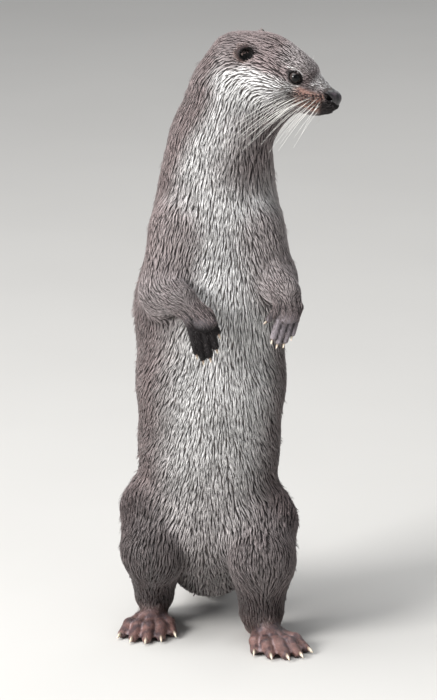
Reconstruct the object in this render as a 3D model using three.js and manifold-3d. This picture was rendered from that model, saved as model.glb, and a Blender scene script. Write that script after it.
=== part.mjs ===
// A Eurasian otter (Lutra lutra) standing upright on its hind feet, propped by its tail, its head turned
// to its left.
// Millimetres, +Z up. The animal faces -Y, so its own left side is +X. The floor is z = 0.
//
// The flesh is one smooth body of rounded masses that melt into each other, out to the tips of its coat.
// Thin cuts part it where one named part of the body ends and the next begins: across the spine, the tail
// and the joints of the legs, and elsewhere where the next part comes closer. Eyes, ears, nose and claws are
// pieces of their own.
import * as THREE from "three";
import { mergeVertices } from "three/addons/utils/BufferGeometryUtils.js";
import Module from "manifold-3d";

const wasm = await Module();
wasm.setup();

// ---------------------------------------------------------------- driving dimensions

const CUT = 0.9; // width of the thin cuts between the parts of the flesh
const GAP = 0.35; // clearance round a piece that sits in or on the flesh
const TRUNK_FLAT = 1.1; // the trunk is this much wider than deep
const NECK_FLAT = 1.02;
const REACH = 26; // parts whose boxes are further apart than this don't touch
const FLATTEST = 0.08; // where two parts' distances differ less than this per mm, their cut may be wider

// Middle line of the trunk and neck: a point and the half-width there.
const SPINE = {
  rumpLow: { at: [0, 42, 70], r: 44 },
  rump: { at: [-1, 24, 118], r: 67 },
  loin: { at: [-1, 14, 196], r: 68 },
  waist: { at: [1, 7, 262], r: 73.5 },
  ribs: { at: [1, 9, 340], r: 73 },
  shoulders: { at: [7, 16, 412], r: 66 },
  neckLow: { at: [7, 15, 462], r: 54 },
  neckMiddle: { at: [10, 11, 505], r: 49 },
  nape: { at: [22, 10, 554], r: 45 },
};

// Middle line of the tail, which comes down from the rump and lies on the floor.
const TAIL = [
  { at: [0, 56, 66], r: 40 },
  { at: [0, 106, 38], r: 31 },
  { at: [-3, 160, 24], r: 26 },
  { at: [-9, 235, 19], r: 20.5 },
  { at: [-18, 310, 13.5], r: 15 },
  { at: [-30, 380, 8.5], r: 10 },
  { at: [-38, 428, 4.5], r: 6 },
];

// Each foreleg hangs from its shoulder, its forearm reaches forward and its paw hangs down from the wrist.
const FORELEG = {
  right: {
    shoulder: { at: [-31, -20, 424], r: 29 },
    elbow: { at: [-45, -40, 366], r: 24 },
    wrist: { at: [-29, -80, 368], r: 15 },
    knuckles: [-5, -99, 351],
    fingertips: [-1, -97, 316],
    across: [1, 0.15, 0.25],
    thumb: [11.5, 0.4],
  },
  left: {
    shoulder: { at: [44, -16, 424], r: 28 },
    elbow: { at: [62, -27, 376], r: 23.5 },
    wrist: { at: [74, -62, 372], r: 14.5 },
    knuckles: [77, -77, 354],
    fingertips: [68, -82, 327],
    across: [-0.92, -0.3, -0.1],
    thumb: [20, 0.1],
  },
};

// Each hind leg: the thigh bulges from the flank, the shank comes down to the ankle of a flat foot.
const HIND_LEG = {
  right: {
    hip: { at: [-48, 14, 120], r: 46 },
    knee: { at: [-56, -16, 92], r: 32 },
    ankle: { at: [-57, 34, 29], r: 20 },
    outward: 4,
  },
  left: {
    hip: { at: [46, 4, 112], r: 45 },
    knee: { at: [52, -40, 89], r: 32 },
    ankle: { at: [52, -20, 29], r: 22.5 },
    outward: 17,
  },
};

// A hind foot seen from above: forward of the ankle and outward from its middle line.
const FOOT = {
  heel: { forward: -16, r: 13 },
  ball: { forward: 33, r: 13 },
  sole: 8, // height of the middle of the sole
  toes: [
    { root: [22, -12], tip: [50, -23], r: [6.6, 4.9] },
    { root: [30, -8], tip: [66, -12], r: [6.8, 5.1] },
    { root: [33, 0], tip: [73, 2], r: [7, 5.2] },
    { root: [31, 8], tip: [70, 16], r: [6.8, 5.1] },
    { root: [25, 14], tip: [58, 28], r: [6.6, 4.9] },
  ],
  claw: { length: 7, r: 2, curl: 42 },
};

// A forepaw: its digits from the thumb outward, across the palm at knuckle and tip and as a share of the
// longest finger. The tip of the thumb is given with its limb.
const PAW = {
  palm: { r: 12, flat: 2 },
  digits: [
    { across: 10.5, start: 0.1, r: [4.5, 3.6] },
    { across: 6.5, end: 8, start: 0.35, reach: 0.8, r: [4.8, 3.8] },
    { across: 0, end: 0.8, start: 0.4, reach: 1, r: [5, 3.9] },
    { across: -6.5, end: -6.4, start: 0.35, reach: 1.02, r: [4.8, 3.8] },
    { across: -11.5, end: -12, start: 0.25, reach: 0.8, r: [4.5, 3.6] },
  ],
  claw: { length: 5, r: 1.6, curl: 50 },
};

// The head has its own frame: forward to the nose, rightward, and up, from between the ears.
const HEAD = { at: [45, 8, 595], turned: 74, nodded: 20, rolled: 0 };
const EYE = { near: [49, 22, 0], r: 6.8, sunk: 3.6 };
const EAR = { near: [-3, 36, 7], sunk: -4, outward: 50, depth: 5, width: 9.5, height: 8.5, rim: 0.74 };
const NOSE = { near: [93, 0, -3], sunk: 5.2, length: 9.5, width: 11.5, height: 8 };

// Grid on which each kind of flesh is meshed, and how finely beads and claws are.
const CELL = {
  trunk: 26, rump: 23, neck: 18.5, tail: 17, tailTip: 8.5, head: 9.8, leg: 15, paw: 6.1, foot: 7.8,
};
const EYE_SIDES = 10;
const NOSE_SIDES = 10;
const EAR_SIDES = 7;
const CLAW_SIDES = 5;
const CLAW_RINGS = 2;

// ---------------------------------------------------------------- frames and small sums

const radians = THREE.MathUtils.degToRad;
const add = (a, b, k = 1) => a.map((v, i) => v + k * b[i]);
const dot = (a, b) => a[0] * b[0] + a[1] * b[1] + a[2] * b[2];
const unit = (a) => a.map((v) => v / Math.hypot(...a));
const between = (a, b, t) => a.map((v, i) => v + t * (b[i] - v));
const cross = (a, b) => [a[1] * b[2] - a[2] * b[1], a[2] * b[0] - a[0] * b[2], a[0] * b[1] - a[1] * b[0]];
const UP = [0, 0, 1];
const BACK = [0, 1, 0];

// The head's axes: turned about the upright, nodded down and rolled about the line of the nose.
const headAxes = (() => {
  const [turn, nod, roll] = [HEAD.turned, HEAD.nodded, HEAD.rolled].map(radians);
  const level = [Math.sin(turn), -Math.cos(turn), 0];
  const side = [-Math.cos(turn), -Math.sin(turn), 0];
  const forward = unit(add(level.map((v) => v * Math.cos(nod)), UP, -Math.sin(nod)));
  const crown = cross(side, forward).map((v) => -v);
  const right = unit(add(side.map((v) => v * Math.cos(roll)), crown, Math.sin(roll)));
  return { forward, right, up: cross(forward, right).map((v) => -v) };
})();

const HEAD_AXES = [headAxes.forward, headAxes.right, headAxes.up];

const onHead = ([f, r, u]) =>
  add(add(add(HEAD.at, headAxes.forward, f), headAxes.right, r), headAxes.up, u);

// ---------------------------------------------------------------- masses of flesh

// A tapered, round-ended mass from a to b, made thinner by `flat` along `normal`.
function taper(a, b, ra, rb, flat = 1, normal = BACK) {
  const line = add(b, a, -1);
  const length2 = Math.max(dot(line, line), 1e-9);
  const reach = Math.max(ra, rb);
  const distance = (p) => {
    const t = Math.min(1, Math.max(0, dot(add(p, a, -1), line) / length2));
    let off = add(p, between(a, b, t), -1);
    off = add(off, normal, (flat - 1) * dot(off, normal));
    return Math.hypot(...off) - (ra + t * (rb - ra));
  };
  return { distance, corners: [add(a, [reach, reach, reach], -1), add(a, [reach, reach, reach]),
    add(b, [reach, reach, reach], -1), add(b, [reach, reach, reach])] };
}

const joined = (from, to, flat, normal) => taper(from.at, to.at, from.r, to.r, flat, normal);

// An ellipsoid on the head's axes: centre and half-sizes forward, sideways and up.
function lobe(centre, radii) {
  const at = onHead(centre);
  const reach = Math.max(...radii);
  const distance = (p) => {
    const off = add(p, at, -1);
    const q = HEAD_AXES.map((axis, i) => dot(off, axis) / radii[i]);
    const near = Math.hypot(...q);
    const steep = Math.hypot(...q.map((v, i) => v / radii[i]));
    return steep > 1e-9 ? (near * (near - 1)) / steep : -Math.min(...radii);
  };
  return { distance, corners: [add(at, [reach, reach, reach], -1), add(at, [reach, reach, reach])] };
}

const pair = (make) => [1, -1].flatMap(make);

const headMasses = () => [
  lobe([-1, 0, -6], [41, 37, 26]), // brain case
  lobe([15, 0, 2.2], [32, 27, 25]), // crown
  lobe([32, 0, 0.3], [34, 25, 20]), // forehead
  ...pair((s) => [lobe([16, 19 * s, -14], [31, 19, 21])]), // cheeks
  ...pair((s) => [lobe([49, 14 * s, 5], [13, 8, 7.5])]), // brows
  taper(onHead([42, 0, 2]), onHead([80, 0, -12.5]), 15, 9), // bridge of the nose
  ...pair((s) => [lobe([71, 10 * s, -14], [15, 10, 8.5])]), // whisker pads
  lobe([60, 0, -12], [26, 20, 15]), // upper jaw
  lobe([84, 0, -16], [12.5, 10, 8.5]), // upper lip
  taper(onHead([-8, 0, -26]), onHead([26, 0, -24]), 30, 22), // back of the throat
  taper(onHead([44, 0, -33]), onHead([29, 0, -53]), 15.5, 18.5), // front of the throat
];

const jawMasses = () => [
  taper(onHead([40, 0, -31]), onHead([85, 0, -21]), 13, 6.6),
  lobe([68, 0, -26.5], [16, 12, 8]),
];

function foreleg(side) {
  const limb = FORELEG[side];
  const across = unit(limb.across);
  const palmLine = unit(add(limb.knuckles, limb.wrist.at, -1));
  const back = unit(cross(palmLine, across));
  const palmSide = back.map((v) => -v);
  const digits = PAW.digits.map((digit) => {
    const onPalm = (share) => between(limb.wrist.at, limb.knuckles, share);
    const [end, reach] = digit.end === undefined ? limb.thumb : [digit.end, digit.reach];
    const root = add(onPalm(digit.start), across, digit.across * 0.8);
    const knuckle = add(onPalm(0.72 + 0.4 * digit.start), across, digit.across);
    const tip = add(between(limb.knuckles, limb.fingertips, reach), across, end);
    return { root, knuckle, tip, r: digit.r };
  });
  return {
    upperArm: [joined(limb.shoulder, limb.elbow)],
    forearm: [joined(limb.elbow, limb.wrist)],
    paw: [
      taper(limb.wrist.at, limb.knuckles, limb.wrist.r - 1, PAW.palm.r, PAW.palm.flat, back),
      ...digits.flatMap(({ root, knuckle, tip, r }) => [
        taper(root, knuckle, r[0], r[0]),
        taper(knuckle, tip, r[0], r[1]),
      ]),
    ],
    foreClaws: digits.map(({ knuckle, tip, r }) => ({ from: knuckle, tip, r: r[1], down: palmSide })),
  };
}

function hindLeg(side) {
  const limb = HIND_LEG[side];
  const out = side === "left" ? 1 : -1;
  const turn = radians(limb.outward) * out;
  const forward = [Math.sin(turn), -Math.cos(turn), 0];
  const outward = [out * Math.cos(turn), out * Math.sin(turn), 0];
  const onFoot = (f, o, z) => [
    limb.ankle.at[0] + f * forward[0] + o * outward[0],
    limb.ankle.at[1] + f * forward[1] + o * outward[1],
    z,
  ];
  const heel = onFoot(FOOT.heel.forward, 0, FOOT.sole + 2);
  const ball = onFoot(FOOT.ball.forward, 1, FOOT.sole);
  const toes = FOOT.toes.map(({ root, tip, r }) => ({
    root: onFoot(...root, FOOT.sole + 1.5),
    knuckle: onFoot(...between(root, tip, 0.55), r[0] + 3.4),
    tip: onFoot(...tip, r[1] - 0.3),
    r,
  }));
  const webs = toes.slice(1).map((toe, i) => {
    const [here, there] = [toes[i], toe].map(({ knuckle, tip }) => between(knuckle, tip, 0.45));
    const edge = between(here, there, 0.5);
    return taper(between(toes[i].root, toe.root, 0.5), add(edge, UP, -2), 8, 7.5, 2.6, UP);
  });
  return {
    thigh: [joined(limb.hip, limb.knee)],
    shank: [joined(limb.knee, limb.ankle)],
    foot: [
      taper(limb.ankle.at, heel, limb.ankle.r - 2, FOOT.heel.r),
      taper(heel, ball, FOOT.heel.r, FOOT.ball.r, 1.15, UP),
      taper(onFoot(20, -7, FOOT.sole), onFoot(22, 10, FOOT.sole), 11, 11, 1.1, UP),
      taper(limb.ankle.at, ball, limb.ankle.r - 5, FOOT.ball.r - 3),
      ...toes.flatMap(({ root, knuckle, tip, r }) => [
        taper(root, knuckle, r[0], r[0]),
        taper(knuckle, tip, r[0], r[1]),
      ]),
      ...webs,
    ],
    hindClaws: toes.map(({ knuckle: [x, y], tip, r }) => (
      { from: [x, y, tip[2]], tip, r: r[1], down: [0, 0, -1] })),
  };
}

const legs = Object.fromEntries(
  ["left", "right"].map((side) => [side, { ...foreleg(side), ...hindLeg(side) }]),
);

const spine = (flat, ...names) =>
  names.slice(1).map((name, i) => joined(SPINE[names[i]], SPINE[name], flat));
const tail = (from, to) => TAIL.slice(from, to).map((point, i) => joined(point, TAIL[from + i + 1]));

// Every part of the flesh: its masses, how softly they melt together, and its grid.
const flesh = {
  head: { masses: headMasses(), melt: 9, cell: CELL.head },
  lower_jaw: { masses: jawMasses(), melt: 5, cell: CELL.head },
  neck: { masses: spine(NECK_FLAT, "neckLow", "neckMiddle", "nape"), melt: 14, cell: CELL.neck },
  chest: { masses: spine(TRUNK_FLAT, "ribs", "shoulders", "neckLow"), melt: 14, cell: CELL.trunk },
  abdomen: { masses: spine(TRUNK_FLAT, "loin", "waist", "ribs"), melt: 14, cell: CELL.trunk },
  rump: { masses: spine(TRUNK_FLAT, "rumpLow", "rump", "loin"), melt: 14, cell: CELL.rump },
  tail_root: { masses: tail(0, 2), melt: 10, cell: CELL.tail },
  tail_middle: { masses: tail(2, 4), melt: 10, cell: CELL.tail },
  tail_tip: { masses: tail(4, 6), melt: 10, cell: CELL.tailTip },
};
for (const [side, leg] of Object.entries(legs)) {
  flesh[`upper_arm_${side}`] = { masses: leg.upperArm, melt: 6, cell: CELL.leg };
  flesh[`forearm_${side}`] = { masses: leg.forearm, melt: 6, cell: CELL.leg - 2.5 };
  flesh[`forepaw_${side}`] = { masses: leg.paw, melt: 2.5, cell: CELL.paw };
  flesh[`thigh_${side}`] = { masses: leg.thigh, melt: 6, cell: CELL.leg };
  flesh[`shank_${side}`] = { masses: leg.shank, melt: 6, cell: CELL.leg - 1 };
  flesh[`hind_foot_${side}`] = { masses: leg.foot, melt: 3, cell: CELL.foot };
}

// Where two parts that follow each other are parted: a plane through the joint that faces the second.
const plane = (at, before, after) => {
  const [arriving, leaving] = [unit(add(at, before, -1)), unit(add(after, at, -1))];
  return { at, facing: unit(add(arriving, leaving)) };
};
const alongSpine = (before, at, after) => plane(...[at, before, after].map((name) => SPINE[name].at));
const alongTail = (i) => plane(TAIL[i].at, TAIL[i - 1].at, TAIL[i + 1].at);
const PLANES = {
  "neck head": { at: onHead([-2, 0, -24]), facing: unit(add(headAxes.up, headAxes.forward, 0.3)) },
  "rump abdomen": alongSpine("rump", "loin", "waist"),
  "abdomen chest": alongSpine("waist", "ribs", "shoulders"),
  "chest neck": alongSpine("shoulders", "neckLow", "neckMiddle"),
  "rump tail_root": plane(TAIL[0].at, SPINE.rump.at, TAIL[1].at),
  "tail_root tail_middle": alongTail(2),
  "tail_middle tail_tip": alongTail(4),
};
for (const side of ["left", "right"]) {
  const [fore, hind] = [FORELEG[side], HIND_LEG[side]];
  PLANES[`upper_arm_${side} forearm_${side}`] = plane(fore.elbow.at, fore.shoulder.at, fore.wrist.at);
  PLANES[`forearm_${side} forepaw_${side}`] = plane(fore.wrist.at, fore.elbow.at, fore.knuckles);
  PLANES[`thigh_${side} shank_${side}`] = plane(hind.knee.at, hind.hip.at, hind.ankle.at);
  PLANES[`shank_${side} hind_foot_${side}`] = { at: hind.ankle.at, facing: [0, 0, -1] };
}

const distanceTo = (part, p) =>
  flesh[part].masses.reduce((nearest, mass) => melt(nearest, mass.distance(p), flesh[part].melt), Infinity);

// How far a point lies across the cut from part `name` to part `other`, counting from the middle of the cut.
function beyond(p, name, other, far) {
  const [ahead, behind] = [PLANES[`${name} ${other}`], PLANES[`${other} ${name}`]];
  if (ahead) return dot(add(p, ahead.at, -1), ahead.facing);
  if (behind) return -dot(add(p, behind.at, -1), behind.facing);
  const lead = (far[name] - far[other]) / 2;
  if (Math.abs(lead) > CUT) return lead;
  const steep = Math.hypot(...slope((q) => (distanceTo(name, q) - distanceTo(other, q)) / 2, p));
  return lead / Math.max(steep, FLATTEST);
}

// Which parts melt into each other, and over how wide a fillet.
const JOINS = [
  { melt: 20, parts: ["head", "neck", "chest", "abdomen", "rump", "tail_root",
    "upper_arm_left", "upper_arm_right", "thigh_left", "thigh_right"] },
  { melt: 4, parts: ["head", "lower_jaw"] },
  { melt: 14, parts: ["tail_root", "tail_middle", "tail_tip"] },
  ...["left", "right"].flatMap((side) => [
    { melt: 12, parts: [`upper_arm_${side}`, `forearm_${side}`] },
    { melt: 8, parts: [`forearm_${side}`, `forepaw_${side}`] },
    { melt: 16, parts: [`thigh_${side}`, `shank_${side}`] },
    { melt: 8, parts: [`shank_${side}`, `hind_foot_${side}`] },
  ]),
];

function melt(a, b, width) {
  const h = Math.max(width - Math.abs(a - b), 0) / width;
  return Math.min(a, b) - (h * h * width) / 4;
}

// The box round a part, and the parts whose boxes come near it.
const boxes = Object.fromEntries(Object.entries(flesh).map(([name, { masses }]) => {
  const corners = masses.flatMap((mass) => mass.corners);
  return [name, { low: [0, 1, 2].map((i) => Math.min(...corners.map((c) => c[i]))),
    high: [0, 1, 2].map((i) => Math.max(...corners.map((c) => c[i]))) }];
}));
const neighbours = (name) => Object.keys(flesh).filter((other) =>
  [0, 1, 2].every((i) => boxes[other].low[i] < boxes[name].high[i] + REACH
    && boxes[other].high[i] > boxes[name].low[i] - REACH));

// How far a point is out of the body near a part, and out of that part's share of the body.
function measure(p, name, near) {
  const far = Object.fromEntries(near.map((part) => [part, distanceTo(part, p)]));
  const body = Math.min(...JOINS.map((join) => join.parts.filter((part) => part in far)
    .reduce((nearest, part) => melt(nearest, far[part], join.melt), Infinity)));
  const share = Math.max(...near.filter((part) => part !== name).map((part) => beyond(p, name, part, far)));
  return { body, share: share + CUT / 2 };
}

// ---------------------------------------------------------------- meshing

const STEP = 0.05;
const SHORTEST = 0.05; // no edge of a stored facet is shorter

function slope(value, p) {
  return [0, 1, 2].map((i) => {
    const ahead = [...p];
    const behind = [...p];
    ahead[i] += STEP;
    behind[i] -= STEP;
    return (value(ahead) - value(behind)) / (2 * STEP);
  });
}

// Moves a point towards the surface where value is 0, by one step no longer than `most`.
function settle(p, value, most) {
  const g = slope(value, p);
  const steep = Math.max(Math.hypot(...g), 1e-3);
  const step = Math.min(most, Math.max(-most, value(p) / steep));
  return add(p, g, -step / steep);
}

// Where the line from a point inside to a point outside leaves the surface.
function crossing(inside, outside, value) {
  for (let halving = 0; halving < 7; halving++) {
    const middle = between(inside, outside, 0.5);
    if (value(middle) < 0) inside = middle;
    else outside = middle;
  }
  return between(inside, outside, 0.5);
}

// Meshes one part: a vertex in each grid cell that its surface crosses, set onto the skin, onto the cut or
// onto the edge of both.
function meshPart(name) {
  const { cell } = flesh[name];
  const near = neighbours(name);
  const low = boxes[name].low.map((v) => v - 2.3 * cell);
  const size = boxes[name].high.map((v, i) => Math.ceil((v - low[i]) / cell) + 3);
  const skin = (p) => measure(p, name, near).body;
  const cut = (p) => measure(p, name, near).share;
  const index = (i, j, k) => (k * size[1] + j) * size[0] + i;
  const place = (i, j, k) => [low[0] + i * cell, low[1] + j * cell, low[2] + k * cell];
  const values = new Float64Array(size[0] * size[1] * size[2]);
  for (let k = 0; k < size[2]; k++)
    for (let j = 0; j < size[1]; j++)
      for (let i = 0; i < size[0]; i++) {
        const { body, share } = measure(place(i, j, k), name, near);
        values[index(i, j, k)] = Math.max(body, share);
      }

  const edges = [];
  for (let c = 0; c < 8; c++)
    for (let axis = 0; axis < 3; axis++) if (!((c >> axis) & 1)) edges.push([c, c | (1 << axis)]);

  const vertices = [];
  const vertexOf = new Map();
  for (let k = 0; k < size[2] - 1; k++)
    for (let j = 0; j < size[1] - 1; j++)
      for (let i = 0; i < size[0] - 1; i++) {
        const corner = (c) => [i + (c & 1), j + ((c >> 1) & 1), k + ((c >> 2) & 1)];
        let middle = [0, 0, 0];
        let crossings = 0;
        let onSkin = false;
        let onCut = false;
        for (const [a, b] of edges) {
          const [va, vb] = [values[index(...corner(a))], values[index(...corner(b))]];
          if (va < 0 === vb < 0) continue;
          const ends = [place(...corner(a)), place(...corner(b))];
          const p = crossing(...(va < 0 ? ends : ends.reverse()), (q) => {
            const { body, share } = measure(q, name, near);
            return Math.max(body, share);
          });
          const { body, share } = measure(p, name, near);
          if (body > share) onSkin = true;
          else onCut = true;
          middle = add(middle, p);
          crossings += 1;
        }
        if (!crossings) continue;
        let p = middle.map((v) => v / crossings);
        for (let turn = 0; turn < (onSkin && onCut ? 6 : 2); turn++) {
          if (onSkin) p = settle(p, skin, cell / 3);
          if (onCut) p = settle(p, cut, cell / 3);
        }
        const start = place(i, j, k);
        p = p.map((v, n) => Math.min(start[n] + 1.05 * cell, Math.max(start[n] - 0.05 * cell, v)));
        p[2] = Math.max(p[2], 0); // what presses on the floor is flat
        vertexOf.set(index(i, j, k), vertices.length);
        vertices.push(p);
      }

  const triangles = [];
  for (let k = 1; k < size[2] - 1; k++)
    for (let j = 1; j < size[1] - 1; j++)
      for (let i = 1; i < size[0] - 1; i++)
        for (let axis = 0; axis < 3; axis++) {
          const here = values[index(i, j, k)];
          const step = [0, 0, 0];
          step[axis] = 1;
          const there = values[index(i + step[0], j + step[1], k + step[2])];
          if (here < 0 === there < 0) continue;
          const [u, v] = [(axis + 1) % 3, (axis + 2) % 3];
          const ring = [[0, 0], [-1, 0], [-1, -1], [0, -1]].map(([du, dv]) => {
            const at = [i, j, k];
            at[u] += du;
            at[v] += dv;
            return vertexOf.get(index(...at));
          });
          if (here >= 0) ring.reverse();
          const [a, b, c, d] = ring;
          const across = (m, n) => Math.hypot(...add(vertices[m], vertices[n], -1));
          if (across(a, c) < across(b, d)) triangles.push([a, b, c], [a, c, d]);
          else triangles.push([a, b, d], [b, c, d]);
        }
  return { vertices, triangles };
}

// ---------------------------------------------------------------- solids

function solidOf({ vertices, triangles }) {
  const mesh = new wasm.Mesh({
    numProp: 3,
    vertProperties: new Float32Array(vertices.flat()),
    triVerts: new Uint32Array(triangles.flat()),
  });
  mesh.merge();
  return new wasm.Manifold(mesh);
}

function solidFrom(geometry) {
  const bare = geometry.index ? geometry.clone() : geometry;
  for (const name of ["normal", "uv"]) bare.deleteAttribute(name);
  const merged = mergeVertices(bare, 1e-4);
  return new wasm.Manifold(new wasm.Mesh({
    numProp: 3,
    vertProperties: merged.attributes.position.array,
    triVerts: new Uint32Array(merged.index.array),
  }));
}

// The largest body of a solid, without loose crumbs.
const largest = (solid) => solid.decompose().reduce((a, b) => (a.volume() > b.volume() ? a : b));

// The same solid with its vertices moved out along their normals.
function swollen(solid, amount) {
  const geometry = geometryOf(solid);
  const points = geometry.attributes.position;
  const normals = geometry.attributes.normal;
  for (let i = 0; i < points.array.length; i++) points.array[i] += amount * normals.array[i];
  return solidFrom(geometry);
}

function facetsOf(solid) {
  const mesh = solid.getMesh();
  const triple = (values, start) => [values[start], values[start + 1], values[start + 2]];
  const { numVert, numTri, numProp } = mesh;
  const vertices = Array.from({ length: numVert }, (_, i) => triple(mesh.vertProperties, i * numProp));
  const triangles = Array.from({ length: numTri }, (_, i) => triple(mesh.triVerts, i * 3));
  return { vertices, triangles };
}

// The solid with its shortest edges closed up, and with corners that touch without being joined moved apart.
function cleaned(solid) {
  const { vertices, triangles } = facetsOf(solid);
  const joinedTo = vertices.map((_, i) => i);
  const end = (i) => (joinedTo[i] === i ? i : end(joinedTo[i]));
  for (const [a, b, c] of triangles)
    for (const [from, to] of [[a, b], [b, c], [c, a]])
      if (Math.hypot(...add(vertices[from], vertices[to], -1)) < SHORTEST) joinedTo[end(from)] = end(to);
  const welded = triangles.map((corners) => corners.map(end));
  const whole = welded.filter((corners) => new Set(corners).size === 3);
  const keyOf = (corners) => [...corners].sort((m, n) => m - n).join();
  const uses = new Map();
  for (const corners of whole) uses.set(keyOf(corners), (uses.get(keyOf(corners)) ?? 0) + 1);
  const kept = whole.filter((corners) => uses.get(keyOf(corners)) === 1);

  const fans = new Map();
  for (const corners of kept)
    for (const corner of corners) fans.set(corner, [...(fans.get(corner) ?? []), ...corners]);
  const places = new Map();
  for (const corner of fans.keys()) {
    const place = vertices[corner].map((v) => v.toFixed(2)).join();
    places.set(place, [...(places.get(place) ?? []), corner]);
  }
  for (const touching of places.values())
    if (touching.length > 1)
      for (const corner of touching) {
        const fan = fans.get(corner).map((i) => vertices[i]);
        const middle = [0, 1, 2].map((axis) => fan.reduce((sum, v) => sum + v[axis], 0) / fan.length);
        vertices[corner] = between(vertices[corner], middle, 0.08);
      }
  return solidOf({ vertices, triangles: kept });
}

function geometryOf(solid) {
  const { vertices, triangles } = facetsOf(solid);
  const geometry = new THREE.BufferGeometry();
  geometry.setAttribute("position", new THREE.Float32BufferAttribute(vertices.flat(), 3));
  geometry.setIndex(new THREE.Uint32BufferAttribute(triangles.flat(), 1));
  geometry.computeVertexNormals();
  return geometry;
}

// Moves a point along the slope of the head's surface until it lies `depth` under it.
function sunkInHead(near, depth) {
  const surface = (p) => measure(p, "head", neighbours("head")).body;
  let p = onHead(near);
  for (let turn = 0; turn < 8; turn++) p = settle(p, (q) => surface(q) + depth, 5);
  return p;
}

// An ellipsoid: centre, two axes at right angles and the half-size along them and across both.
function bead(at, [first, second], radii, segments) {
  const ball = new THREE.SphereGeometry(1, segments, Math.round(segments * 0.7));
  const axes = [first, second, cross(first, second)].map((axis) => new THREE.Vector3(...axis));
  ball.scale(...radii);
  ball.applyMatrix4(new THREE.Matrix4().makeBasis(...axes).setPosition(...at));
  return solidFrom(ball);
}

// A claw: rings that shrink along an arc from inside the digit's end, curving down to a point.
function clawSolid({ from, tip, r, down }, { length, r: thick, curl }) {
  const turned = radians(curl);
  const bend = (length + 3) / turned;
  const ahead = unit(add(tip, from, -1));
  const below = unit(add(down, ahead, -dot(down, ahead)));
  const sideways = cross(ahead, below);
  const start = add(add(tip, ahead, r - 3.2), below, -r * 0.22);
  const vertices = [];
  for (let ring = 0; ring < CLAW_RINGS; ring++) {
    const t = ring / CLAW_RINGS;
    const angle = t * turned;
    const middle = add(add(start, ahead, bend * Math.sin(angle)), below, bend * (1 - Math.cos(angle)));
    const outward = add(below.map((v) => v * Math.cos(angle)), ahead, -Math.sin(angle));
    for (let side = 0; side < CLAW_SIDES; side++) {
      const turn = (2 * Math.PI * side) / CLAW_SIDES;
      const thin = thick * (1 - 0.72 * t * t);
      const [tall, wide] = [1.2 * thin * Math.cos(turn), 0.8 * thin * Math.sin(turn)];
      vertices.push(add(add(middle, outward, tall), sideways, wide));
    }
  }
  vertices.push(add(add(start, ahead, bend * Math.sin(turned)), below, bend * (1 - Math.cos(turned))));
  vertices.push(start);
  const point = CLAW_SIDES * CLAW_RINGS;
  const triangles = [];
  for (let side = 0; side < CLAW_SIDES; side++) {
    const next = (side + 1) % CLAW_SIDES;
    for (let ring = 0; ring < CLAW_RINGS - 1; ring++) {
      const [a, b] = [ring * CLAW_SIDES + side, ring * CLAW_SIDES + next];
      triangles.push([a, b, b + CLAW_SIDES], [a, b + CLAW_SIDES, a + CLAW_SIDES]);
    }
    triangles.push([point - CLAW_SIDES + side, point - CLAW_SIDES + next, point], [point + 1, next, side]);
  }
  const solid = solidOf({ vertices, triangles });
  if (solid.volume() > 0) return solid;
  return solidOf({ vertices, triangles: triangles.map(([a, b, c]) => [a, c, b]) });
}

// ---------------------------------------------------------------- the otter

const COLOURS = {
  fur: new THREE.Color(0.36, 0.3, 0.27),
  skin: new THREE.Color(0.3, 0.2, 0.18),
  nose: new THREE.Color(0.06, 0.05, 0.055),
  eye: new THREE.Color(0.05, 0.035, 0.03),
  claw: new THREE.Color(0.72, 0.64, 0.55),
};
const FINISH = Object.fromEntries(Object.entries({ fur: 0.75, skin: 0.5, nose: 0.35, eye: 0.08, claw: 0.35 })
  .map(([name, roughness]) =>
    [name, new THREE.MeshStandardMaterial({ name, color: COLOURS[name], roughness, metalness: 0 })]));

const otter = new THREE.Group();

function addNode(name, solid, finish) {
  const mesh = new THREE.Mesh(geometryOf(cleaned(solid)), FINISH[finish]);
  mesh.name = name;
  otter.add(mesh);
}

const bodySolids = Object.fromEntries(
  Object.keys(flesh).map((name) => [name, largest(solidOf(meshPart(name)))]),
);

// The facets of neighbours don't match along a curved cut, so where they meet one makes way for the other.
Object.keys(flesh).forEach((name, i, names) => {
  for (const other of names.slice(i + 1)) {
    const [solid, neighbour] = [bodySolids[name], bodySolids[other]];
    if (solid.intersect(neighbour).volume() > 0)
      bodySolids[name] = largest(solid.subtract(swollen(neighbour, CUT / 2)));
  }
});

for (const [side, s] of [["right", 1], ["left", -1]]) {
  const eyeAt = sunkInHead([EYE.near[0], s * EYE.near[1], EYE.near[2]], EYE.sunk);
  const eye = (extra) => bead(eyeAt, HEAD_AXES, Array(3).fill(EYE.r + extra), EYE_SIDES);
  addNode(`eye_${side}`, eye(0), "eye");
  bodySolids.head = largest(bodySolids.head.subtract(eye(GAP)));

  const earAt = sunkInHead([EAR.near[0], s * EAR.near[1], EAR.near[2]], EAR.sunk);
  const turn = radians(EAR.outward);
  const facing = add(headAxes.forward.map((v) => v * Math.cos(turn)), headAxes.right, s * Math.sin(turn));
  const axes = [facing, unit(cross(headAxes.up, facing))];
  const cup = bead(earAt, axes, [EAR.depth, EAR.width, EAR.height], EAR_SIDES);
  const hollow = bead(add(earAt, facing, EAR.depth * 0.8), axes,
    [EAR.depth, EAR.width * EAR.rim, EAR.height * EAR.rim], EAR_SIDES);
  const ear = largest(cup.subtract(hollow).subtract(bodySolids.head));
  addNode(`ear_${side}`, ear.translate(...headAxes.right.map((v) => v * s * GAP)), "fur");
}

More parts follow.
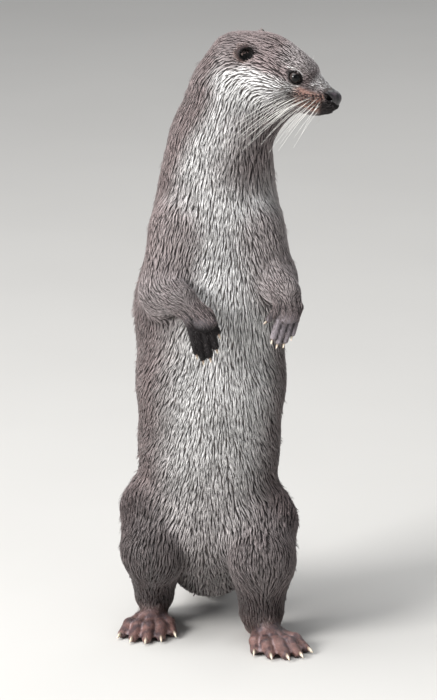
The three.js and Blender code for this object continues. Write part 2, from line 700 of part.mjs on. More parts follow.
const noseAt = sunkInHead(NOSE.near, NOSE.sunk);
const noseSize = [NOSE.length, NOSE.width, NOSE.height];
const nose = (extra) => bead(noseAt, HEAD_AXES, noseSize.map((v) => v + extra), NOSE_SIDES);
addNode("nose", nose(0), "nose");
for (const part of ["head", "lower_jaw"])
  bodySolids[part] = largest(bodySolids[part].subtract(nose(GAP)));

const DIGITS = ["first", "second", "third", "fourth", "fifth"];
for (const [side, leg] of Object.entries(legs)) {
  const kinds = [
    { paw: `forepaw_${side}`, claws: leg.foreClaws, size: PAW.claw, name: "fore_claw" },
    { paw: `hind_foot_${side}`, claws: leg.hindClaws, size: FOOT.claw, name: "hind_claw" },
  ];
  for (const { paw, claws, size, name } of kinds) {
    const cleared = swollen(bodySolids[paw], CUT / 2);
    claws.forEach((claw, i) => {
      addNode(`${name}_${DIGITS[i]}_${side}`, largest(clawSolid(claw, size).subtract(cleared)), "claw");
    });
  }
}

for (const [name, solid] of Object.entries(bodySolids))
  addNode(name, solid, /paw|foot/.test(name) ? "skin" : "fur");

// The origin lies on the floor under the middle of the otter's bounding box.
const bounds = new THREE.Box3().setFromObject(otter);
otter.position.set(-(bounds.min.x + bounds.max.x) / 2, -(bounds.min.y + bounds.max.y) / 2, -bounds.min.z);

export default otter;
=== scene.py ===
"""A life-size still model of a Eurasian otter standing upright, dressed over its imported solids.

One skin stands for all the nodes of flesh and lies inside them by the depth of the coat. The coat is solid
locks of wet fur that lie along the body. Eyes, nose, claws and whiskers are pieces of their own.

The flesh is described in its own frame, in millimetres: +Z up, the animal facing -Y, its left side at +X,
the floor at z = 0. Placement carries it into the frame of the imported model, in metres.
"""

import logging
import math
from collections.abc import Callable, Iterable, Sequence
from dataclasses import dataclass, field
from enum import Enum
from functools import cached_property, reduce
from itertools import product

import bpy
import numpy as np
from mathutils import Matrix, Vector
from mathutils.kdtree import KDTree


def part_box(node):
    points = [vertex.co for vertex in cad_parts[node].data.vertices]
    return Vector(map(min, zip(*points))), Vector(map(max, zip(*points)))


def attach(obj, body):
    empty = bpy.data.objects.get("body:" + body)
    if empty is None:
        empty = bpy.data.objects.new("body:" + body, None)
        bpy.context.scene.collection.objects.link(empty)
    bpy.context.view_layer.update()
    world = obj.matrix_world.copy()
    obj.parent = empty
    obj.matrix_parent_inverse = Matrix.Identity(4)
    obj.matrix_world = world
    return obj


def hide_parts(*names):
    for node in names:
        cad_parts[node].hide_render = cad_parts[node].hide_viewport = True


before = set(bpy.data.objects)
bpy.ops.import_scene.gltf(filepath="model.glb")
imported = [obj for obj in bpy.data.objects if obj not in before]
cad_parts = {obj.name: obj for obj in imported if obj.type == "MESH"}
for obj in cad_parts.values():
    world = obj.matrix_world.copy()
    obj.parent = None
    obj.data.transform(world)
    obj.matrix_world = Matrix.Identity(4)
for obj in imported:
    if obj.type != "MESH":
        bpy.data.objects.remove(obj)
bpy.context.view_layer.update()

Array = np.ndarray
Triple = tuple[float, float, float]
Colour = tuple[int, int, int]

LOG = logging.getLogger("otter")
BODY = "root"  # the one body of a still model
MM = 0.001
NOWHERE = 1e3  # a distance, in millimetres, further than any part reaches
UP = np.array([0.0, 0.0, 1.0])
BACK = np.array([0.0, 1.0, 0.0])
SIDES = {"left": 1, "right": -1}  # the sign of x on each side of the animal
CORNERS = tuple(product((0, 1), repeat=3))  # of a cell of a grid


# ---- small sums


def unit(v: Array) -> Array:
    """The vector, or each row of vectors, at length one."""
    return v / np.maximum(np.linalg.norm(v, axis=-1, keepdims=True), 1e-9)


def rise(x: Array, low: float, high: float) -> Array:
    """A smooth step from 0 where x is `low` to 1 where it is `high`."""
    t = np.clip((x - low) / (high - low), 0, 1)
    return t * t * (3 - 2 * t)


def melt(a: Array, b: Array, width: float) -> Array:
    """The nearer of two distances, rounded over where they differ by less than `width`."""
    h = np.maximum(width - np.abs(a - b), 0) / width
    return np.minimum(a, b) - h * h * width / 4


def melted(fields: Iterable[Array], width: float) -> Array:
    """Any number of distances melted into one."""
    return reduce(lambda a, b: melt(a, b, width), fields)


def nearness(far: Array, softness: float) -> Array:
    """How much each row of distances counts, the nearest one the most."""
    return np.exp(-(far - far.min(0)) / softness)


def carve(a: Array, hollow: Array, width: float) -> Array:
    """Distance a with the hollow taken out of it, its edge rounded over `width`."""
    return -melt(-a, hollow, width)


def slope(value: Callable[[Array], Array], p: Array, step: float = 0.1) -> Array:
    """The gradient of a field at each point, by differences."""
    here = value(p)
    return np.stack([(value(p + step * axis) - here) / step for axis in np.eye(3)], axis=1)


@dataclass(frozen=True)
class Stretch:
    """A stretch of numbers with soft ends: it starts, is full, begins to fade and ends."""

    start: float
    full: float
    fade: float
    end: float

    def of(self, x: Array) -> Array:
        """How far each number lies within the stretch, from 0 to 1."""
        return rise(x, self.start, self.full) * (1 - rise(x, self.fade, self.end))


def linear(colour: Colour) -> tuple[float, float, float, float]:
    """A colour given in display values from 0 to 255, as linear RGBA."""
    parts = [c / 255 for c in colour]
    return (*[c / 12.92 if c <= 0.04045 else ((c + 0.055) / 1.055) ** 2.4 for c in parts], 1.0)


# ---- masses


@dataclass(frozen=True)
class Knot:
    """A point of the skeleton and the half-width of the flesh there, in millimetres."""

    at: Triple
    r: float


@dataclass(frozen=True, eq=False)
class Taper:
    """A tapered, round-ended mass from a to b, made thinner by `flat` along `normal`."""

    a: Array
    b: Array
    ra: float
    rb: float
    flat: float = 1.0
    normal: Array = field(default_factory=lambda: BACK)

    def distance(self, p: Array) -> Array:
        """How far each point lies outside the mass.

        Args:
            p: the points.

        Returns:
            A distance for each.
        """
        line = self.b - self.a
        t = np.clip((p - self.a) @ line / max(float(line @ line), 1e-9), 0, 1)
        off = p - self.a - t[:, None] * line
        if self.flat != 1.0:
            off = off + self.normal * ((self.flat - 1) * (off @ self.normal))[:, None]
        return np.linalg.norm(off, axis=1) - (self.ra + t * (self.rb - self.ra))

    def corners(self) -> Array:
        """Points whose box holds the mass."""
        reach = max(self.ra, self.rb)
        return np.array([self.a - reach, self.a + reach, self.b - reach, self.b + reach])

    def along(self) -> Array:
        """The direction from a to b."""
        return unit(self.b - self.a)


@dataclass(frozen=True, eq=False)
class Lobe:
    """An ellipsoid: its centre, three axes as rows, and its half-size along each."""

    at: Array
    axes: Array
    radii: Triple

    def distance(self, p: Array) -> Array:
        """How far each point lies outside the mass, close to its surface.

        Args:
            p: the points.

        Returns:
            A distance for each.
        """
        q = (p - self.at) @ self.axes.T / np.array(self.radii)
        near = np.linalg.norm(q, axis=1)
        steep = np.linalg.norm(q / np.array(self.radii), axis=1)
        return near * (near - 1) / np.maximum(steep, 1e-9)

    def corners(self) -> Array:
        """Points whose box holds the mass."""
        return np.array([self.at - max(self.radii), self.at + max(self.radii)])

    def along(self) -> Array:
        """A lobe gives the coat no direction of its own."""
        return np.zeros(3)


Mass = Taper | Lobe


def joined(a: Knot, b: Knot, flat: float = 1.0) -> Taper:
    """The mass between two knots of the skeleton."""
    return Taper(np.array(a.at, float), np.array(b.at, float), a.r, b.r, flat)


# ---- skeleton


@dataclass(frozen=True)
class HeadFrame:
    """The head's own frame: forward to the nose, to its right, and up, from between the ears.

    Angles are in degrees: turned about the upright, and nodded down.
    """

    at: Triple = (45, 8, 595)
    turned: float = 74
    nodded: float = 20

    @cached_property
    def axes(self) -> Array:
        """Finds the directions of the head.

        Returns:
            Forward, right and up, as rows.
        """
        turn, nod = np.radians([self.turned, self.nodded])
        level = np.array([math.sin(turn), -math.cos(turn), 0])
        forward = unit(level * math.cos(nod) - UP * math.sin(nod))
        right = unit(np.array([-math.cos(turn), -math.sin(turn), 0]))
        return np.array([forward, right, -np.cross(forward, right)])

    def place(self, *at: float) -> Array:
        """A point given forward, right and up, in the frame of the flesh."""
        return np.array(self.at) + np.array(at, float) @ self.axes

    def local(self, p: Array) -> Array:
        """Points of the flesh as columns forward, right and up."""
        return (p - np.array(self.at)) @ self.axes.T

    def lobe(self, centre: Triple, radii: Triple) -> Lobe:
        """An ellipsoid on the head's axes."""
        return Lobe(self.place(*centre), self.axes, radii)

    def taper(self, a: Triple, b: Triple, ra: float, rb: float) -> Taper:
        """A tapered mass between two points of the head."""
        return Taper(self.place(*a), self.place(*b), ra, rb)


HEAD = HeadFrame()


@dataclass(frozen=True)
class Foreleg:
    """A foreleg: the knots of its arm, the ends of its paw, the direction across it, and where the tip of
    the thumb lies across the paw and as a share of the longest finger."""

    shoulder: Knot
    elbow: Knot
    wrist: Knot
    knuckles: Triple
    fingertips: Triple
    across: Triple
    thumb: tuple[float, float]


@dataclass(frozen=True)
class HindLeg:
    """A hind leg: the knots of its thigh and shank, and how far its foot turns out, in degrees."""

    hip: Knot
    knee: Knot
    ankle: Knot
    outward: float


@dataclass(frozen=True, eq=False)
class Digit:
    """A finger or toe: root, knuckle and tip, its half-widths and the way its underside faces."""

    root: Array
    knuckle: Array
    tip: Array
    r: tuple[float, float]
    down: Array

    def masses(self) -> list[Taper]:
        """The two bones of the digit as masses."""
        return [Taper(self.root, self.knuckle, self.r[0], self.r[0]),
                Taper(self.knuckle, self.tip, self.r[0], self.r[1])]


@dataclass(frozen=True)
class Skeleton:
    """The middle lines of the animal and the half-widths of its flesh, in millimetres."""

    trunk_flat: float = 1.1
    neck_flat: float = 1.02
    rump_low: Knot = Knot((0, 42, 70), 44)
    rump: Knot = Knot((-1, 24, 118), 67)
    loin: Knot = Knot((-1, 14, 196), 68)
    waist: Knot = Knot((1, 7, 262), 73.5)
    ribs: Knot = Knot((1, 9, 340), 73)
    shoulders: Knot = Knot((7, 16, 412), 66)
    neck_low: Knot = Knot((7, 15, 462), 54)
    neck_middle: Knot = Knot((10, 11, 505), 49)
    nape: Knot = Knot((22, 10, 554), 45)
    tail: tuple[Knot, ...] = (
        Knot((0, 56, 66), 40), Knot((0, 106, 38), 31), Knot((-3, 160, 24), 26), Knot((-9, 235, 19), 20.5),
        Knot((-18, 310, 13.5), 15), Knot((-30, 380, 8.5), 10), Knot((-38, 428, 4.5), 6))
    forelegs: tuple[tuple[str, Foreleg], ...] = (
        ("right", Foreleg(Knot((-31, -20, 424), 29), Knot((-45, -40, 366), 24), Knot((-29, -80, 368), 15),
                          (-5, -99, 351), (-1, -97, 316), (1, 0.15, 0.25), (11.5, 0.4))),
        ("left", Foreleg(Knot((44, -16, 424), 28), Knot((62, -27, 376), 23.5), Knot((74, -62, 372), 14.5),
                         (77, -77, 354), (68, -82, 327), (-0.92, -0.3, -0.1), (20, 0.1))))
    hind_legs: tuple[tuple[str, HindLeg], ...] = (
        ("right", HindLeg(Knot((-48, 14, 120), 46), Knot((-56, -16, 92), 32), Knot((-57, 34, 29), 20), 4)),
        ("left", HindLeg(Knot((46, 4, 112), 45), Knot((52, -40, 89), 32), Knot((52, -20, 29), 22.5), 17)))

    def spine(self) -> tuple[Knot, ...]:
        """The knots of the trunk and neck, from the rump up."""
        return (self.rump_low, self.rump, self.loin, self.waist, self.ribs, self.shoulders, self.neck_low,
                self.neck_middle, self.nape)

    def spine_at(self, z: Array) -> Array:
        """The middle of the trunk at each height."""
        x, y, heights = np.array([knot.at for knot in self.spine()], float).T
        return np.stack([np.interp(z, heights, x), np.interp(z, heights, y), z], axis=1)


@dataclass(frozen=True)
class Paw:
    """A forepaw: half-width and flatness of the palm and, for each digit from the thumb outward, its place
    across the palm, where it starts, its half-widths, and its tip across the palm and along the paw."""

    palm: float = 12
    flat: float = 2
    digits: tuple[tuple[float, ...], ...] = (
        (10.5, 0.1, 4.5, 3.6), (6.5, 0.35, 4.8, 3.8, 8, 0.8), (0, 0.4, 5, 3.9, 0.8, 1),
        (-6.5, 0.35, 4.8, 3.8, -6.4, 1.02), (-11.5, 0.25, 4.5, 3.6, -12, 0.8))

    def grow(self, limb: Foreleg) -> tuple[list[Mass], list[Digit]]:
        """The masses of a forepaw and its digits.

        Args:
            limb: the foreleg that the paw ends.

        Returns:
            The masses, and the digits from the thumb outward.
        """
        wrist, knuckles, tips = (np.array(v, float) for v in (limb.wrist.at, limb.knuckles, limb.fingertips))
        across = unit(np.array(limb.across, float))
        back = unit(np.cross(unit(knuckles - wrist), across))
        digits = []
        for place, start, r0, r1, *finger in self.digits:
            end, reach = finger or limb.thumb
            root = wrist + start * (knuckles - wrist) + across * place * 0.8
            knuckle = wrist + (0.72 + 0.4 * start) * (knuckles - wrist) + across * place
            tip = knuckles + reach * (tips - knuckles) + across * end
            digits.append(Digit(root, knuckle, tip, (r0, r1), -back))
        palm = Taper(wrist, knuckles, limb.wrist.r - 1, self.palm, self.flat, back)
        return [palm, *[m for d in digits for m in d.masses()]], digits


@dataclass(frozen=True)
class Foot:
    """A hind foot seen from above: forward of the ankle and outward from its middle line."""

    heel_back: float = -16
    ball_front: float = 33
    r: float = 13
    sole: float = 8
    toes: tuple[tuple[float, ...], ...] = (
        (22, -12, 50, -23, 6.6, 4.9), (30, -8, 66, -12, 6.8, 5.1), (33, 0, 73, 2, 7, 5.2),
        (31, 8, 70, 16, 6.8, 5.1), (25, 14, 58, 28, 6.6, 4.9))

    def grow(self, limb: HindLeg, sign: int) -> tuple[list[Mass], list[Digit]]:
        """The masses of a hind foot, its webs included, and its toes.

        Args:
            limb: the leg that the foot ends.
            sign: 1 on the animal's left, -1 on its right.

        Returns:
            The masses, and the toes from the inner one outward.
        """
        turn = math.radians(limb.outward) * sign
        forward = np.array([math.sin(turn), -math.cos(turn), 0])
        outward = np.array([math.cos(turn), math.sin(turn), 0]) * sign
        ankle = np.array(limb.ankle.at, float)

        def at(f: float, o: float, z: float) -> Array:
            """A point of the foot at height z."""
            return np.array([*(ankle + f * forward + o * outward)[:2], z])

        heel, ball = at(self.heel_back, 0, self.sole + 2), at(self.ball_front, 1, self.sole)
        toes = []
        for rf, ro, tf, to, r0, r1 in self.toes:
            kf, ko = rf + 0.55 * (tf - rf), ro + 0.55 * (to - ro)
            toes.append(Digit(at(rf, ro, self.sole + 1.5), at(kf, ko, r0 + 3.4), at(tf, to, r1 - 0.3),
                              (r0, r1), -UP))
        webs = []
        for here, there in zip(toes, toes[1:]):
            edge = sum(d.knuckle + 0.45 * (d.tip - d.knuckle) for d in (here, there)) / 2
            webs.append(Taper((here.root + there.root) / 2, edge - 2 * UP, 8, 7.5, 2.6, UP))
        masses: list[Mass] = [
            Taper(ankle, heel, limb.ankle.r - 2, self.r),
            Taper(heel, ball, self.r, self.r, 1.15, UP),
            Taper(at(20, -7, self.sole), at(22, 10, self.sole), 11, 11, 1.1, UP),
            Taper(ankle, ball, limb.ankle.r - 5, self.r - 3)]
        return [*masses, *[m for t in toes for m in t.masses()], *webs], toes


# ---- coat


class Region(Enum):
    """The stretches of the coat. Each gives one piece, or two where it goes all round the trunk."""

    HEAD = "head"
    NECK = "neck"
    CHEST = "chest"
    BELLY = "belly"
    RUMP = "rump"
    TAIL = "tail"
    FORELEG_LEFT = "foreleg_left"
    FORELEG_RIGHT = "foreleg_right"
    HIND_LEG_LEFT = "hind_leg_left"
    HIND_LEG_RIGHT = "hind_leg_right"


HALVED = (Region.NECK, Region.CHEST, Region.BELLY, Region.RUMP)


@dataclass(frozen=True)
class Fur:
    """The coat on one part of the body, in millimetres: how deep it lies over the skin, how long and wide
    a strand is, how far apart strands stand, and how far apart the locks run that they gather into."""

    depth: float
    length: float
    width: float
    spacing: float
    pitch: float

    def row(self) -> list[float]:
        """The five numbers as a row of a table."""
        return [self.depth, self.length, self.width, self.spacing, self.pitch]


FACE = Fur(0.9, 4.0, 0.4, 0.82, 1.0)
MUZZLE = Fur(0.6, 1.9, 0.4, 0.78, 0.95)
FUR = {
    "head": Fur(2.0, 8.0, 0.46, 0.9, 1.2),
    "lower_jaw": Fur(1.3, 6.0, 0.44, 0.92, 1.15),
    "neck": Fur(3.2, 12.5, 0.53, 1.1, 1.35),
    "chest": Fur(3.5, 12.5, 0.54, 1.12, 1.35),
    "abdomen": Fur(3.6, 12.0, 0.55, 1.14, 1.35),
    "rump": Fur(3.6, 12.5, 0.58, 1.18, 1.45),
    "tail_root": Fur(3.4, 12.5, 0.75, 1.5, 1.9),
    "tail_middle": Fur(2.6, 11.0, 0.75, 1.5, 1.9),
    "tail_tip": Fur(1.6, 9.0, 0.7, 1.45, 1.8),
    "upper_arm": Fur(2.8, 11.0, 0.53, 1.1, 1.35),
    "forearm": Fur(1.6, 6.0, 0.46, 1.0, 1.1),
    "forepaw": Fur(0.5, 4.0, 0.42, 0.95, 1.1),
    "thigh": Fur(3.4, 11.5, 0.58, 1.2, 1.5),
    "shank": Fur(2.6, 8.5, 0.56, 1.18, 1.45),
    "hind_foot": Fur(0.35, 2.4, 0.5, 1.4, 1.2),
}
REGIONS = {
    "head": Region.HEAD, "lower_jaw": Region.HEAD, "neck": Region.NECK, "chest": Region.CHEST,
    "abdomen": Region.BELLY, "rump": Region.RUMP,
    **{f"tail_{part}": Region.TAIL for part in ("root", "middle", "tip")},
    **{f"{part}_{side}": Region(f"foreleg_{side}")
       for side in SIDES for part in ("upper_arm", "forearm", "forepaw")},
    **{f"{part}_{side}": Region(f"hind_leg_{side}")
       for side in SIDES for part in ("thigh", "shank", "hind_foot")},
}


# ---- flesh


@dataclass(frozen=True, eq=False)
class Part:
    """A named part of the flesh: its masses, how softly they melt together and its fur."""

    name: str
    masses: list[Mass]
    melt: float
    fur: Fur

    @cached_property
    def box(self) -> tuple[Array, Array]:
        """The lowest and highest corner of the part."""
        corners = np.concatenate([m.corners() for m in self.masses])
        return corners.min(0), corners.max(0)

    def distance(self, p: Array) -> Array:
        """How far each point lies outside the part."""
        return melted([mass.distance(p) for mass in self.masses], self.melt)

    def run(self, p: Array, softness: float = 6.0) -> Array:
        """The direction in which the part's masses run at each point, nearer masses counting more."""
        weight = nearness(np.stack([mass.distance(p) for mass in self.masses]), softness)
        return np.einsum("mn,mk->nk", weight, np.stack([mass.along() for mass in self.masses]))


@dataclass(frozen=True)
class Eye:
    """An eye and its lids. `near` is forward, right and up on the head, its side given apart."""

    near: Triple = (49, 22, 0)
    cad_sunk: float = 3.6  # how deep the centre lies under the coat
    ball: float = 6.6
    lid: float = 0.5  # half the thickness of a lid
    wide: float = 6.5  # half the opening between the lids
    tall: float = 4.7
    gaze: Triple = (0.42, 1.0, 0.12)
    slant: float = -28.0  # turn of the opening, in degrees, its front corner down
    reach: float = 16.0  # how far from its centre the marks round it lie
    over: Stretch = Stretch(1.4, 1.5, 1.6, 1.75)  # the pale lines, where 1 is the edge of the lids
    below: Stretch = Stretch(1.35, 1.5, 1.65, 1.85)


@dataclass(frozen=True)
class Ear:
    """An ear: a small cup that opens forward and outward."""

    near: Triple = (-3, 36, 7)
    cad_sunk: float = -3.4
    outward: float = 50.0
    depth: float = 4.0
    width: float = 9.6
    height: float = 7.8
    rim: float = 0.84


@dataclass(frozen=True)
class Mouth:
    """The line of the mouth: points forward, right and up on the head, for one side."""

    line: tuple[Triple, ...] = ((93, 0, -18.5), (88, 7, -17), (82, 11.5, -18.5), (74, 15.5, -22.5),
                                (64, 17.5, -26.5), (55, 18, -29))
    r: float = 1.0


class Flesh:
    """The whole body as a field of distances, built from the skeleton."""

    def __init__(self, bones: Skeleton, paw: Paw, foot: Foot) -> None:
        """Builds the parts and notes which of them melt together.

        Args:
            bones: the skeleton.
            paw: the plan of a forepaw.
            foot: the plan of a hind foot.
        """
        self.bones = bones
        self.parts: list[Part] = []
        self.digits: dict[str, list[Digit]] = {}
        self._add("head", self._head(), 9)
        self._add("lower_jaw", [HEAD.taper((40, 0, -31), (85, 0, -21), 13, 6.6),
                                HEAD.lobe((68, 0, -26.5), (16, 12, 8))], 5)
        b = bones
        for name, knots, flat in (
            ("neck", (b.neck_low, b.neck_middle, b.nape), b.neck_flat),
            ("chest", (b.ribs, b.shoulders, b.neck_low), b.trunk_flat),
            ("abdomen", (b.loin, b.waist, b.ribs), b.trunk_flat),
            ("rump", (b.rump_low, b.rump, b.loin), b.trunk_flat),
        ):
            self._add(name, [joined(*pair, flat) for pair in zip(knots[1:], knots)], 14)
        tail = [joined(*pair) for pair in zip(b.tail, b.tail[1:])]
        for i, name in enumerate(("tail_root", "tail_middle", "tail_tip")):
            self._add(name, tail[2 * i:2 * i + 2], 10)
        for side, arm in b.forelegs:
            masses, self.digits[f"fore_{side}"] = paw.grow(arm)
            self._add(f"upper_arm_{side}", [joined(arm.shoulder, arm.elbow)], 6)
            self._add(f"forearm_{side}", [joined(arm.elbow, arm.wrist)], 6)
            self._add(f"forepaw_{side}", masses, 2.5)
        for side, leg in b.hind_legs:
            masses, self.digits[f"hind_{side}"] = foot.grow(leg, SIDES[side])
            self._add(f"thigh_{side}", [joined(leg.hip, leg.knee)], 6)
            self._add(f"shank_{side}", [joined(leg.knee, leg.ankle)], 6)
            self._add(f"hind_foot_{side}", masses, 3)
        self.index = {part.name: i for i, part in enumerate(self.parts)}
        self.joins = self._joins()
        self.furs = np.array([part.fur.row() for part in self.parts])

    def _add(self, name: str, masses: list[Mass], softness: float) -> None:
        """Adds a part, with the fur of its kind."""
        kind = name.removesuffix("_left").removesuffix("_right")
        self.parts.append(Part(name, masses, softness, FUR[kind]))

    @staticmethod
    def _head() -> list[Mass]:
        """Shapes the head.

        Returns:
            Cheeks, brows, whisker pads, brain case, forehead, bridge, upper jaw and throat.
        """
        paired = [HEAD.lobe((f, s * r, u), radii) for f, r, u, radii in (
            (16, 19, -14, (31, 19, 21)), (49, 14, 5, (13, 8, 7.5)), (71, 10, -14, (15, 10, 8.5)))
            for s in (1, -1)]
        return [HEAD.lobe((-1, 0, -6), (41, 37, 26)), HEAD.lobe((15, 0, 2.2), (32, 27, 25)),
                HEAD.lobe((32, 0, 0.3), (34, 25, 20)), *paired,
                HEAD.taper((42, 0, 2), (80, 0, -12.5), 15, 9), HEAD.lobe((60, 0, -12), (26, 20, 15)),
                HEAD.lobe((84, 0, -16), (12.5, 10, 8.5)),
                HEAD.taper((-8, 0, -26), (26, 0, -24), 30, 22),
                HEAD.taper((44, 0, -33), (29, 0, -53), 15.5, 18.5)]

    def _joins(self) -> list[tuple[float, list[int]]]:
        """Finds which parts melt into each other.

        Returns:
            For each group, the width of its fillet and the numbers of its parts.
        """
        groups = [(20.0, ["head", "neck", "chest", "abdomen", "rump", "tail_root",
                          *[f"{part}_{side}" for part in ("upper_arm", "thigh") for side in SIDES]]),
                  (4.0, ["head", "lower_jaw"]), (14.0, ["tail_root", "tail_middle", "tail_tip"])]
        for side in SIDES:
            for width, *pair in ((12.0, "upper_arm", "forearm"), (8.0, "forearm", "forepaw"),
                                 (16.0, "thigh", "shank"), (8.0, "shank", "hind_foot")):
                groups.append((width, [f"{part}_{side}" for part in pair]))
        return [(width, [self.index[name] for name in names]) for width, names in groups]

    def distances(self, p: Array, reach: float = 30.0) -> Array:
        """Distance of each point from each part, as rows of parts.

        Args:
            p: points of the flesh, in millimetres.
            reach: parts whose boxes are further away than this count as nowhere near.

        Returns:
            An array of one row per part and one column per point.
        """
        far = np.full((len(self.parts), len(p)), NOWHERE)
        for i, part in enumerate(self.parts):
            low, high = part.box
            near = np.all((p > low - reach) & (p < high + reach), axis=1)
            if near.any():
                far[i, near] = part.distance(p[near])
        return far

    def body(self, far: Array) -> Array:
        """Distance from the outside of the coat, given the distances from the parts."""
        groups = [melted(far[members], width) for width, members in self.joins]
        return np.minimum(np.min(groups, axis=0), NOWHERE)

    def outside(self, p: Array) -> Array:
        """Distance of each point from the outside of the coat."""
        return self.body(self.distances(p))

    @staticmethod
    def shares(far: Array, softness: float = 5.0) -> Array:
        """How much each part has to do with each point: columns that add up to one."""
        weight = nearness(far, softness)
        return weight / weight.sum(0)

    def fur_at(self, p: Array, shares: Array) -> Array:
        """The fur at each point, finer towards the muzzle.

        Args:
            p: the points.
            shares: each part's share in them.

        Returns:
            A row like Fur.row for each.
        """
        fur = shares.T @ self.furs
        ahead = HEAD.local(p)[:, 0]
        head = shares[self.index["head"]] + shares[self.index["lower_jaw"]]
        for finer, start, end in ((FACE, 24, 46), (MUZZLE, 46, 58)):
            share = (head * rise(ahead, start, end))[:, None]
            fur = fur * (1 - share) + np.array(finer.row()) * share
        return fur

    def gaps(self, p: Array, shares: Array) -> Array:
        """How deep each point lies in a web or in the furrow between two digits.

        Args:
            p: the points.
            shares: each part's share in them.

        Returns:
            A number from 0 to 1 for each.
        """
        gaps = np.zeros(len(p))
        for limb, digits in self.digits.items():
            kind, side = limb.split("_")
            share = shares[self.index[f"{'forepaw' if kind == 'fore' else 'hind_foot'}_{side}"]]
            near = np.nonzero(share > 0.3)[0]
            if not len(near):
                continue
            far = np.sort([np.min([bone.distance(p[near]) for bone in digit.masses()], axis=0)
                           for digit in digits], axis=0)
            furrow = (1 - rise(far[1] - far[0], 0.3, 2.2)) * (1 - rise(far[1], 1.5, 3.0))
            web = rise(far[0], 0.2, 1.5) * (1 - rise(far[0], 2.5, 5.0)) * (1 - rise(p[near, 2], 9, 15))
            gaps[near] = np.maximum(furrow, web) * share[near]
        return gaps

    def sunk(self, near: Triple, depth: float) -> Array:
        """Finds a point under a place of the head.

        Args:
            near: the place, forward, right and up.
            depth: how deep the point lies under the outside of the coat.

        Returns:
            The point.
        """
        p = HEAD.place(*near)[None, :]
        for _ in range(8):
            g = slope(self.outside, p)
            steep = max(float(np.linalg.norm(g)), 1e-3)
            p = p - g / steep * np.clip((self.outside(p) + depth) / steep, -5, 5)
        return p[0]


@dataclass(frozen=True)
class Placement:
    """Carries points from the frame of the flesh, in millimetres, into that of the model, in metres."""

    shift: Triple

    @classmethod
    def from_eyes(cls, centres: dict[str, Array]) -> "Placement":
        """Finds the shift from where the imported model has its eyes.

        Args:
            centres: the centre of each eye in the frame of the flesh, by side.

        Returns:
            The placement, which keeps the floor at z = 0.
        """
        gaps = []
        for side, centre in centres.items():
            low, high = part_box(f"eye_{side}")
            gaps.append(np.array((low + high) / 2) - centre * MM)
        x, y, _ = np.mean(gaps, axis=0)
        return cls((float(x), float(y), 0.0))

    def metres(self, p: Array) -> Array:
        """Points or one point of the flesh, in the model's frame."""
        return np.asarray(p, float) * MM + np.array(self.shift)


# ---- meshes


def mesh_object(name: str, points: Array, faces: Array, smooth: bool = True) -> bpy.types.Object:
    """Makes an object of faces that all have the same number of corners.

    Args:
        name: the object's name.
        points: its vertices, in metres.
        faces: one row of vertex numbers per face.
        smooth: whether the faces are shaded as one round surface.

    Returns:
        The linked object, at the origin.
    """
    mesh = bpy.data.meshes.new(name)
    count, corners = faces.shape
    mesh.vertices.add(len(points))
    mesh.vertices.foreach_set("co", np.ascontiguousarray(points, np.float32).ravel())
    mesh.loops.add(count * corners)
    mesh.loops.foreach_set("vertex_index", np.ascontiguousarray(faces, np.int32).ravel())
    mesh.polygons.add(count)
    mesh.polygons.foreach_set("loop_start", np.arange(0, count * corners, corners, dtype=np.int32))
    mesh.update(calc_edges=True)
    mesh.polygons.foreach_set("use_smooth", np.full(count, smooth))
    thing = bpy.data.objects.new(name, mesh)
    bpy.context.scene.collection.objects.link(thing)
    return thing


def give_values(thing: bpy.types.Object, name: str, values: Array) -> None:
    """Stores one number, or one colour of three, per vertex as a named attribute.

    Args:
        thing: the object.
        name: the attribute's name.
        values: a number or a row for each vertex.
    """
    if values.ndim == 1:
        layer = thing.data.attributes.new(name, "FLOAT", "POINT")
        layer.data.foreach_set("value", values.astype(np.float32))
        return
    layer = thing.data.attributes.new(name, "FLOAT_COLOR", "POINT")
    layer.data.foreach_set("color", np.c_[values, np.ones(len(values))].astype(np.float32).ravel())


def give_map(thing: bpy.types.Object, corners: Array) -> None:
    """Stores a UV place for every corner of every face."""
    layer = thing.data.uv_layers.new(name="OFBake")
    layer.data.foreach_set("uv", corners.astype(np.float32).ravel())


def ride(thing: bpy.types.Object, nodes: Sequence[str] = ()) -> bpy.types.Object:
    """Hands a finished piece to the frame: hides the nodes it stands for and attaches it to its body.

    Args:
        thing: the piece.
        nodes: the nodes it replaces.

    Returns:
        The same piece.
    """
    if nodes:
        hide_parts(*nodes)
    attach(thing, BODY)
    return thing


@dataclass(frozen=True)
class Zones:
    """Grid lines along one axis: fine within some stretches and coarse elsewhere, in millimetres."""

    fine: float
    coarse: float
    stretches: tuple[tuple[float, float], ...]

    def lines(self, low: float, high: float) -> Array:
        """Lays out the lines.

        Args:
            low: where they start.
            high: how far they reach at least.

        Returns:
            Their places, which are one more than a multiple of four.
        """
        at = [low]
        while at[-1] < high or len(at) % 4 != 1:
            inside = any(a <= at[-1] <= b for a, b in self.stretches)
            at.append(at[-1] + (self.fine if inside else self.coarse))
        return np.array(at)


